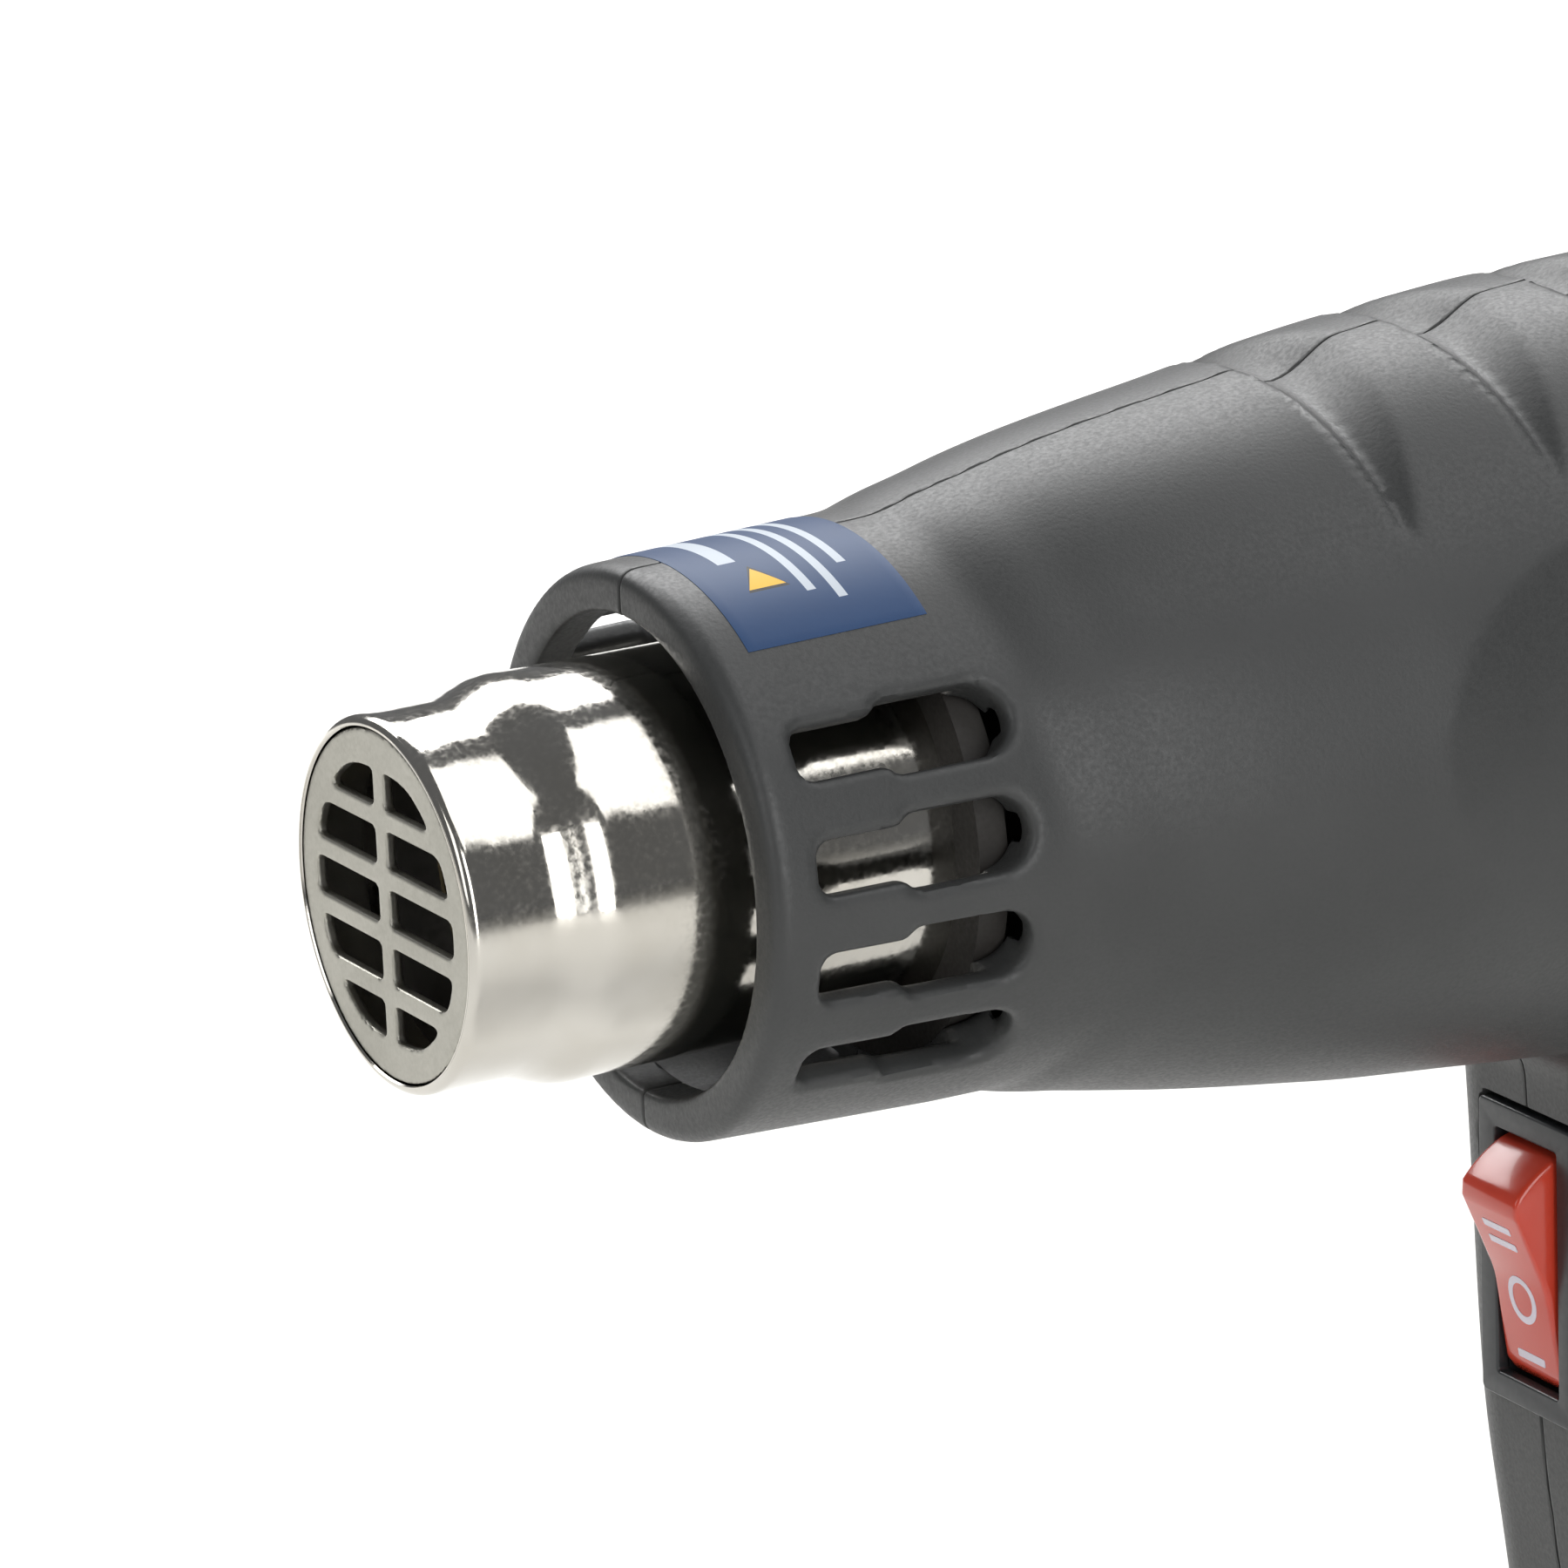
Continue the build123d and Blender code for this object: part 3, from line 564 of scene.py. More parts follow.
def curve_through(points: Sequence[Point], at: Array) -> Array:
    """Smooth curve through (x, y) points, level beyond its ends and without overshoot between them.

    Args:
        points: the points, in order of x.
        at: where to read the curve.

    Returns:
        The curve's height at each place.
    """
    xs, ys = (np.array(column, float) for column in zip(*points))
    slopes = np.diff(ys) / np.diff(xs)
    tangents = np.zeros(len(xs))
    same = slopes[:-1] * slopes[1:] > 0
    pair = np.where(same, slopes[:-1] + slopes[1:], 1.0)
    tangents[1:-1] = np.where(same, 2 * slopes[:-1] * slopes[1:] / pair, 0.0)
    tangents[0], tangents[-1] = slopes[0], slopes[-1]
    at = np.clip(at, xs[0], xs[-1])
    i = np.clip(np.searchsorted(xs, at) - 1, 0, len(xs) - 2)
    width = xs[i + 1] - xs[i]
    t = (at - xs[i]) / width
    start = (1 + 2 * t) * (1 - t) ** 2 * ys[i] + t * (1 - t) ** 2 * width * tangents[i]
    return start + t * t * (3 - 2 * t) * ys[i + 1] + t * t * (t - 1) * width * tangents[i + 1]


def box_field(u: Array, v: Array, half_u: float | Array, half_v: float | Array, corner: float) -> Array:
    """Distance to a rounded rectangle centred on the origin.

    Args:
        u: places along its width.
        v: places along its height.
        half_u: half its width.
        half_v: half its height.
        corner: radius of its corners.

    Returns:
        The signed distance, negative inside.
    """
    du, dv = np.abs(u) - half_u + corner, np.abs(v) - half_v + corner
    return np.hypot(np.maximum(du, 0), np.maximum(dv, 0)) + np.minimum(np.maximum(du, dv), 0) - corner


def spaced(stops: Sequence[tuple[float, float]], end: float) -> Array:
    """Args:
        stops: where each spacing starts, in order.
        end: the last line.

    Returns:
        The positions.
    """
    lines: list[float] = []
    wide = 1.0
    for i, (start, step) in enumerate(stops):
        stop = stops[i + 1][0] if i + 1 < len(stops) else end
        count = max(1, round((stop - start) / (step * wide)))
        lines += [start + (stop - start) * k / count for k in range(count)]
    return np.array(lines + [end])


class Skin:
    """Meshes the zero surface of a field: one point in each cell it crosses, moved onto the surface."""

    def __init__(self, field: Field, xs: Array, ys: Array, zs: Array) -> None:
        """Keep the field and the grid lines, in millimetres."""
        self.field = field
        self.lines = (xs, ys, zs)

    def values(self) -> Array:
        """The field at every grid point, worked out slab by slab.

        Returns:
            The values, indexed along x, y and z.
        """
        xs, ys, zs = self.lines
        y, z = np.meshgrid(ys, zs, indexing="ij")
        slabs = []
        for start in range(0, len(xs), 16):
            x = xs[start:start + 16, None, None]
            slabs.append(self.field(*np.broadcast_arrays(x, y[None], z[None])))
        return np.concatenate(slabs)

    def mesh(self, name: str, passes: int = 4, smooth_deg: float = 40.0) -> bpy.types.Mesh:
        """Build the mesh.

        Args:
            name: the mesh's name.
            passes: how often each point is moved towards the surface.
            smooth_deg: edges above this angle stay sharp.

        Returns:
            The closed mesh of quads.
        """
        total, hits, edges = self.crossings(self.values())
        active = hits > 0
        number = np.full(hits.shape, -1)
        number[active] = np.arange(active.sum())
        points = total[active] / hits[active][:, None]
        sizes = np.stack([np.diff(self.lines[k])[np.nonzero(active)[k]] for k in range(3)], axis=1)
        points = self.settle(points, sizes, passes)
        faces = np.concatenate([self.quads(cross, first, number, axis)
                                for axis, (cross, first) in enumerate(edges)])
        return mesh_from(name, points, faces.tolist(), smooth_deg)

    def crossings(self, values: Array) -> tuple[Array, Array, list[tuple[Array, Array]]]:
        """Find where the surface crosses the grid's edges and add each place to the cells round it.

        Args:
            values: the field at every grid point.

        Returns:
            For each cell the sum and the number of its crossings, and for each axis which edges
            are crossed and which of them start inside.
        """
        inside = values < 0
        shape = tuple(n - 1 for n in values.shape)
        total, hits = np.zeros(shape + (3,)), np.zeros(shape, int)
        edges = []
        for axis in range(3):
            low, high = self.ends(values, axis)
            cross = self.ends(inside, axis)[0] != self.ends(inside, axis)[1]
            edges.append((cross, self.ends(inside, axis)[0]))
            index = np.nonzero(cross)
            share = low[index] / (low[index] - high[index])
            spot = np.stack([self.lines[k][index[k]] for k in range(3)], axis=1)
            step = self.lines[axis][index[axis] + 1] - self.lines[axis][index[axis]]
            spot[:, axis] += share * step
            others = [k for k in range(3) if k != axis]
            for da in (0, 1):
                for db in (0, 1):
                    cell = list(index)
                    cell[others[0]] = cell[others[0]] - da
                    cell[others[1]] = cell[others[1]] - db
                    keep = np.ones(len(share), bool)
                    for k in others:
                        keep &= (cell[k] >= 0) & (cell[k] < shape[k])
                    where = tuple(c[keep] for c in cell)
                    np.add.at(total, where, spot[keep])
                    np.add.at(hits, where, 1)
        return total, hits, edges

    def ends(self, grid: Array, axis: int) -> tuple[Array, Array]:
        """The grid's values at the two ends of every edge along an axis.

        Args:
            grid: values at the grid points.
            axis: 0, 1 or 2.

        Returns:
            The values at the lower and at the upper ends.
        """
        low = [slice(None)] * 3
        high = [slice(None)] * 3
        low[axis], high[axis] = slice(None, -1), slice(1, None)
        return grid[tuple(low)], grid[tuple(high)]

    def quads(self, cross: Array, first: Array, number: Array, axis: int) -> Array:
        """Faces round every crossed edge along an axis, turned to face out of the solid.

        Args:
            cross: which edges are crossed.
            first: which edges start inside.
            number: each cell's point number, or -1.
            axis: 0, 1 or 2.

        Returns:
            Four point numbers for each face.
        """
        a, b = [(1, 2), (2, 0), (0, 1)][axis]
        index = list(np.nonzero(cross))
        keep = (index[a] > 0) & (index[b] > 0)
        keep &= (index[a] < number.shape[a]) & (index[b] < number.shape[b])
        index = [k[keep] for k in index]
        corners = []
        for da, db in ((1, 1), (0, 1), (0, 0), (1, 0)):
            cell = list(index)
            cell[a], cell[b] = index[a] - da, index[b] - db
            corners.append(number[tuple(cell)])
        faces = np.stack(corners, axis=1)
        flip = ~first[tuple(index)]
        faces[flip] = faces[flip][:, ::-1]
        return faces[(faces >= 0).all(axis=1)]

    def settle(self, points: Array, sizes: Array, passes: int) -> Array:
        """Move the points onto the surface along the field's slope.

        Args:
            points: the points to move.
            sizes: each point's cell size, which limits how far it moves.
            passes: how often they are moved.

        Returns:
            The moved points.
        """
        start, reach = points.copy(), 0.02
        for _ in range(passes):
            value = self.field(*points.T)
            slope = np.empty_like(points)
            for axis in range(3):
                step = np.zeros(3)
                step[axis] = reach
                slope[:, axis] = (self.field(*(points + step).T) - self.field(*(points - step).T)) / (2 * reach)
            size = np.maximum((slope ** 2).sum(axis=1), 0.05)
            points = points - slope * (value / size)[:, None]
            points = start + np.clip(points - start, -0.9 * sizes, 0.9 * sizes)
        return points


class Side(Enum):
    """The two moulded halves: the value is the sign of Y."""

    LEFT = -1
    RIGHT = 1


@dataclass(frozen=True)
class Housing:
    """Two moulded shells: a slotted, flared and scalloped barrel with a pistol handle."""

    wall: float = 2.8
    ring_x: float = 25.4
    ring_bore: float = 22.5
    chamber_x: float = 30.0
    rear_x: float = 204.5
    front: tuple[float, float, float] = (28.7, 26.85, 0.038)
    rise: tuple[Point, ...] = (
        (40, -2.8), (52.5, 0), (57, 1.0), (61, 1.62), (65, 2.3), (69, 2.88), (73, 3.42), (80, 4.2), (88, 4.98),
        (95, 5.7), (107, 6.6), (117, 7.15), (125, 7.45), (137, 7.5), (150, 7.3), (180, 5.75), (204.5, 3.6))
    flare_at: tuple[Point, ...] = ((-90, 55), (-60, 58.5), (-28, 62.9), (-16, 60), (-4, 57.2), (6, 55.8),
                                   (19.5, 54.7), (33, 53.6), (60, 52.8), (90, 52.5))
    lift: tuple[Point, ...] = ((50, 0), (61, 0.35), (70, 0.65), (90, 0.8), (107, 1.1), (150, 1.1), (204.5, 0))
    handle: tuple[tuple[float, float, float, float], ...] = (
        (-162, 140.0, 176.6, 16.2), (-150, 137.4, 173.0, 16.4), (-120, 131.0, 165.0, 15.2),
        (-94, 126.9, 161.5, 15.2), (-76, 124.8, 161.0, 15.5), (-44, 123.6, 164.0, 16.0),
        (-20, 122.0, 167.5, 16.4))
    near_slots: tuple[float, ...] = (31.5, 9.0, -13.5, -36.0)
    far_slots: tuple[float, ...] = (40.5, 18.0, -4.5, -27.0)
    slot_neck: tuple[float, float, float, float] = (36.0, 5.8, 2.4, 1.5)
    slot_wide: tuple[float, float, float, float] = (43.6, 8.0, 3.4, 3.38)
    shoulder_x: float = 38.7
    slot_floor: float = 20.0
    louvre: tuple[float, float, float, float] = (126.0, 9.0, 1.1, 1.09)
    louvre_z: Point = (4.0, 5.0)
    scallops: tuple[float, ...] = (95.6, 112.3, 129.0, 145.7, 162.4)
    scallop_depth: float = 2.5
    dish: tuple[float, float, float, float] = (116.0, 4.0, 23.8, 19.0)
    dish_depth: float = 2.3
    ribs: tuple[tuple[float, float, float], ...] = (
        (48.0, 52.0, 23.0), (99.0, 101.5, 31.2), (117.0, 119.5, 31.2), (128.0, 134.0, 34.6), (201.0, 204.5, 23.8))
    screws: tuple[Point, ...] = ((84.0, 25.5), (84.0, -25.5), (148.0, 28.0), (150.0, -33.5), (192.0, 28.0),
                                 (192.0, -28.0), (134.2, -99.0), (143.2, -150.0))
    screw_seat: float = 5.0
    pivot: Point = (128.85, -60.4)
    bezel_half: Point = (8.0, 15.6)
    inlet: Point = (157.0, 6.5)

    def radius(self, x: Array, angle: Array) -> Array:
        """Barrel radius at x and at an angle in degrees above the horizontal, the same on both sides.

        Args:
            x: places along the barrel, in millimetres.
            angle: degrees above the horizontal.

        Returns:
            The radius in millimetres.
        """
        flare = curve_through(self.flare_at, angle)
        moved = x - (flare - 52.5) * (1 - smooth_step(55, 100, x))
        start, radius, slope = self.front
        plain = radius + slope * (x - start)
        radius = plain + smooth_max(curve_through(self.rise, moved), np.zeros_like(x), 0.35)
        for i, valley in enumerate(self.scallops):
            radius = radius - self.scallop(x, angle, valley, i)
        return radius

    def scallop(self, x: Array, angle: Array, valley: float, order: int) -> Array:
        """Depth of one gill-like groove: crisp in front, soft behind, narrowing down the side to a point.

        Args:
            x: places along the barrel, in millimetres.
            angle: degrees above the horizontal.
            valley: where the groove is deepest on top.
            order: its number from the front.

        Returns:
            The depth in millimetres.
        """
        tip = 40.0 + 3.5 * min(order, 2)
        down = np.clip((90 - angle) / (90 - tip), 0.0, 1.0)
        ridge = valley - 4.2 + 1.6 * down
        low = ridge + 4.2 * (1 - down) + 0.35
        rear = 6.5 * (1 - down) + 1.0
        t = (x - low) / np.where(x < low, low - ridge, rear)
        shape = np.where(t < 0, np.cos(pi / 2 * np.clip(t, -1, 0)), 0.5 + 0.5 * np.cos(pi * np.clip(t, 0, 1)))
        return self.scallop_depth * (1 - down) ** 0.75 * shape

    def barrel(self, x: Array, y: Array, z: Array) -> tuple[Array, Array]:
        """Field of the barrel's outer form, and its radius there.

        Args:
            x: places along the barrel, in millimetres.
            y: places across it.
            z: heights.

        Returns:
            The field and the radius.
        """
        up = z - curve_through(self.lift, x)
        angle = np.degrees(np.arctan2(up, np.abs(y)))
        radius = self.radius(x, angle)
        return (np.hypot(y, up) - radius) * 0.97, radius

    def dish_at(self, x: Array, z: Array) -> Array:
        """Depth of the oval dish in each side.

        Args:
            x: places along the barrel, in millimetres.
            z: heights.

        Returns:
            The depth in millimetres.
        """
        cx, cz, half_x, half_z = self.dish
        level = np.hypot((x - cx) / half_x, (z - cz) / half_z)
        return self.dish_depth * np.clip(1 - level ** 2, 0, 1)

    def grip(self, x: Array, y: Array, z: Array) -> Array:
        """Field of the handle's outer form.

        Args:
            x: places along the barrel, in millimetres.
            y: places across it.
            z: heights.

        Returns:
            The field.
        """
        front, rear, half = (curve_through([(row[0], row[i]) for row in self.handle], z) for i in (1, 2, 3))
        section = box_field(x - (front + rear) / 2, y, (rear - front) / 2, half, 8.0)
        return smooth_max(section, self.handle[0][0] - z, 2.5)

    def slot(self, x: Array, y: Array, z: Array, angle: float) -> Array:
        """Field of one keyhole cooling slot.

        Args:
            x: places along the barrel, in millimetres.
            y: places across it.
            z: heights.
            angle: degrees above the horizontal.

        Returns:
            The field.
        """
        across = -np.abs(y) * sin(radians(angle)) + z * cos(radians(angle))
        outwards = np.abs(y) * cos(radians(angle)) + z * sin(radians(angle))
        neck = box_field(x - self.slot_neck[0], across, *self.slot_neck[1:])
        wide = box_field(x - self.slot_wide[0], across, *self.slot_wide[1:])
        step = (np.abs(across) - self.slot_neck[2] - (x - self.shoulder_x)) / sqrt(2)
        hole = smooth_min(neck, smooth_max(wide, step, 0.5), 0.5)
        return np.maximum(hole, self.slot_floor - outwards)

    def louvres(self, x: Array, z: Array) -> Array:
        """Field of the air slots through the dish's floor.

        Args:
            x: places along the barrel, in millimetres.
            z: heights.

        Returns:
            The field.
        """
        middle, pitch = self.louvre_z
        slots = [box_field(x - self.louvre[0], z - (middle + pitch * i), *self.louvre[1:])
                 for i in range(-2, 3)]
        return np.minimum.reduce(slots)

    def field(self, x: Array, y: Array, z: Array, side: Side) -> Array:
        """Field of one moulded half.

        Args:
            x: places along the barrel, in millimetres.
            y: places across it.
            z: heights.
            side: which half.

        Returns:
            The field.
        """
        barrel, radius = self.barrel(x, y, z)
        dish = self.dish_at(x, z) * smooth_step(8, 14, np.abs(y))
        outer = smooth_max(barrel + dish, self.ring_x - x, 1.8)
        grip = self.grip(x, y, z)
        outer = smooth_min(outer, smooth_max(grip, z + 18, 1.0), 4.5)
        outer = smooth_max(outer, x - self.rear_x, 0.5)
        hollow = np.maximum(barrel + np.maximum(self.wall, dish + 1.7), self.chamber_x - x)
        throat = np.maximum(grip + self.wall, self.handle[0][0] + self.wall - z)
        hollow = np.minimum(hollow, np.maximum(throat, z + 18))
        for x0, x1, bore in self.ribs:
            rib = np.maximum(np.abs(x - (x0 + x1) / 2) - (x1 - x0) / 2, bore - np.hypot(y, z))
            hollow = np.maximum(hollow, -np.maximum(rib, np.hypot(y, z) - 40.0))
        for sx, sz in self.screws:
            hollow = smooth_max(hollow, 4.4 - np.hypot(x - sx, z - sz), 0.6)
        body = np.maximum(outer, -hollow)
        mouth = np.maximum(np.hypot(y, z) - self.ring_bore, x - self.chamber_x - 1)
        body = smooth_max(body, -mouth, 0.7)
        near = (x > 28) & (x < 54)
        if near.any():
            for angle in self.near_slots if side is Side.LEFT else self.far_slots:
                body = np.where(near, smooth_max(body, -self.slot(x, y, z, angle), 1.2), body)
        body = smooth_max(body, -np.maximum(self.louvres(x, z), 24 - np.abs(y)), 0.5)
        body = self.openings(body, x, y, z, side)
        return smooth_max(body, 0.05 - side.value * y, 0.28)

    def openings(self, body: Array, x: Array, y: Array, z: Array, side: Side) -> Array:
        """Cut the switch's pocket, the cord's hole, and the screws' seats or pilots.

        Args:
            body: the field to cut.
            x: places along the barrel, in millimetres.
            y: places across it.
            z: heights.
            side: which half.

        Returns:
            The field after the cuts.
        """
        px, pz = self.pivot
        half_y, half_z = self.bezel_half
        pocket = np.maximum(box_field(y, z - pz, half_y + 0.22, half_z + 0.28, 0.9), x - 124.8)
        well = np.maximum(box_field(y, z - pz, 6.2, 14.4, 0.3), x - 135)
        body = smooth_max(body, -np.maximum(pocket, 110 - x), 0.35)
        body = np.maximum(body, -np.maximum(well, 110 - x))
        body = np.maximum(body, -np.maximum(np.hypot(x - self.inlet[0], y) - self.inlet[1], z + 150))
        for sx, sz in self.screws:
            away = np.hypot(x - sx, z - sz)
            if side is Side.RIGHT:
                body = smooth_max(body, -np.maximum(away - 3.3, self.screw_seat - y), 0.4)
                body = np.maximum(body, 1.75 - away)
            else:
                body = np.maximum(body, -np.maximum(away - 1.5, -11 - y))
        return body

    def build(self) -> None:
        """Mesh both halves."""
        xs = spaced([(24.6, 0.5), (29, 0.55), (54, 0.8), (60, 0.95), (140, 1.7), (200, 0.8)], 205.4)
        zs = spaced([(-163.0, 0.8), (-156, 1.8), (-78, 0.85), (-42, 1.0), (-27, 0.62), (28, 0.8)], 41.4)
        half = spaced([(-0.5, 0.13), (0.55, 0.3), (1.5, 0.64), (28, 0.8)], 41.0)
        for side, node in ((Side.LEFT, "housing_left"), (Side.RIGHT, "housing_right")):
            ys = np.sort(side.value * half)
            skin = Skin(lambda x, y, z: self.field(x, y, z, side), xs, ys, zs)
            place(f"{node}_shell", skin.mesh(node), HOUSING, GUN, "charcoal_plastic", [node])


# ---------------------------------------------------------------- nozzle


@dataclass(frozen=True)
class Nozzle:
    """Plated tube that swells behind its rolled lip, and its grille plate."""

    radius: float = 17.35
    wall: float = 0.8
    swell: tuple[Point, ...] = (
        (0.9, 17.35), (4.0, 17.22), (8.0, 17.25), (9.4, 17.45), (11.3, 18.05), (13.0, 18.6), (14.4, 18.78),
        (17.0, 18.72), (30.0, 18.7), (90.0, 18.7))
    flange: Point = (91.2, 24.0)
    plate_radius: float = 16.2
    opening: float = 13.3
    pitch: float = 5.46
    bar: float = 1.9
    post: float = 2.0

    def tube(self) -> None:
        """Lathe the tube: outer skin, rear flange, inner skin and rolled lip."""
        stops = np.concatenate([np.linspace(0.9, 30, 90), np.linspace(31, 89, 20)])
        radii = curve_through(self.swell, stops)
        outer = [(0.9 - 0.9 * cos(a), self.radius - 0.9 + 0.9 * sin(a)) for a in np.linspace(0, pi / 2, 8)][:-1]
        outer += list(zip(stops, radii))
        end, rim = self.flange
        outer += rounded([(90, 18.7, 0.5), (90, rim, 0.3), (end, rim, 0.3), (end, 17.9, 0.2)], 4)
        inner = [(x, r - self.wall) for x, r in zip(stops[::-1], radii[::-1]) if x < 88]
        inner += [(0.25, 16.4), (0.0, self.radius - 0.75)]
        mesh = lathe("nozzle_tube", outer + inner, 256, 50)
        place("nozzle_tube_plated", mesh, NICKEL, GUN, "nickel_steel", ["nozzle_tube"])

    def plate_field(self, x: Array, y: Array, z: Array) -> Array:
        """Field of the grille's round plate with its ten openings, two across and five high.

        Args:
            x: places along the barrel, in millimetres.
            y: places across it.
            z: heights.

        Returns:
            The field.
        """
        away = np.hypot(y, z)
        row = np.clip(np.round(z / self.pitch), -2, 2) * self.pitch
        half_y, half_z = 10.0, (self.pitch - self.bar) / 2
        cell = box_field(np.abs(y) - self.post / 2 - half_y, z - row, half_y, half_z, 0.75)
        hole = smooth_max(cell, away - self.opening, 1.1)
        slab = np.abs(x - 0.7) - 0.5
        return smooth_max(smooth_max(slab, away - self.plate_radius, 0.25), -hole, 0.22)

    def grille(self) -> None:
        """Plate with openings, and its skirt inside the lip."""
        across = spaced([(-16.6, 0.26)], 16.6)
        skin = Skin(self.plate_field, spaced([(-0.1, 0.15)], 1.5), across, across)
        outline = [(1.05, 15.4, 0), (1.05, 16.0, 0.3), (6.0, 16.5, 0.2), (6.0, 15.4, 0.2)]
        skirt = lathe("grille_skirt", rounded(outline, 3), 128)
        place("nozzle_grille_plate", joined("nozzle_grille", [skin.mesh("grille_face"), skirt], 40), SATIN, GUN,
              "satin_steel", ["nozzle_grille"])


def joined(name: str, meshes: Sequence[bpy.types.Mesh], smooth_deg: float) -> bpy.types.Mesh:
    """One mesh from several, each kept as a closed part.

    Args:
        name: the new mesh's name.
        meshes: the meshes, which are removed.
        smooth_deg: edges above this angle stay sharp.

    Returns:
        The mesh.
    """
    work = bmesh.new()
    for mesh in meshes:
        work.from_mesh(mesh)
        bpy.data.meshes.remove(mesh)
    result = bpy.data.meshes.new(name)
    work.to_mesh(result)
    work.free()
    soften(result, smooth_deg)
    return result


@dataclass(frozen=True)
class Label:
    """Thin film wrapped over the top of the barrel's front, on the housing's own surface."""

    x: Point = (29.8, 48.0)
    half_angle: float = 35.5
    thickness: float = 0.1
    steps: tuple[int, int] = (36, 96)

    def build(self, housing: Housing) -> None:
        """Wrap the film with a map whose U runs along the barrel and V up over the top.

        Args:
            housing: the shell that the film lies on.
        """
        nx, na = self.steps
        us, vs = np.linspace(0, 1, nx + 1), np.linspace(0, 1, na + 1)
        points, faces, spots = [], [], []
        for layer in (self.thickness, -0.05):
            for u in us:
                for v in vs:
                    x = self.x[0] + (self.x[1] - self.x[0]) * u
                    turn = radians(-self.half_angle + 2 * self.half_angle * v)
                    edge = min(u, 1 - u) * 18 * 2, min(v, 1 - v) * 34 * 2
                    lower = 0.06 * max(0.0, 1 - min(edge))
                    across, up = sin(turn), cos(turn)
                    angle = np.array([90 - abs(np.degrees(turn))])
                    r = float(housing.radius(np.array([x]), angle)[0]) + (layer - lower if layer > 0 else layer)
                    points.append((x, across * r, up * r))
                    spots.append((u, v))
        row = na + 1
        half = (nx + 1) * row
        for i in range(nx):
            for j in range(na):
                a, b = i * row + j, (i + 1) * row + j
                faces.append((a, b, b + 1, a + 1))
                faces.append((half + a, half + a + 1, half + b + 1, half + b))
        for i in range(nx):
            for j, flip in ((0, False), (na, True)):
                a, b = i * row + j, (i + 1) * row + j
                faces.append((a, half + a, half + b, b) if not flip else (a, b, half + b, half + a))
        for j in range(na):
            for i, flip in ((0, True), (nx, False)):
                a = i * row + j
                rim = (a, half + a, half + a + 1, a + 1)
                faces.append((rim[0], *rim[:0:-1]) if flip else rim)
        mesh = mesh_from("label", np.array(points), faces, 60)
        film = mesh.uv_layers.new(name="film")
        for loop in mesh.loops:
            film.data[loop.index].uv = spots[loop.vertex_index]
        outward(mesh, 60)
        place("label_film", mesh, LabelFinish(), GUN, "label_print", ["label"])


# ---------------------------------------------------------------- switch


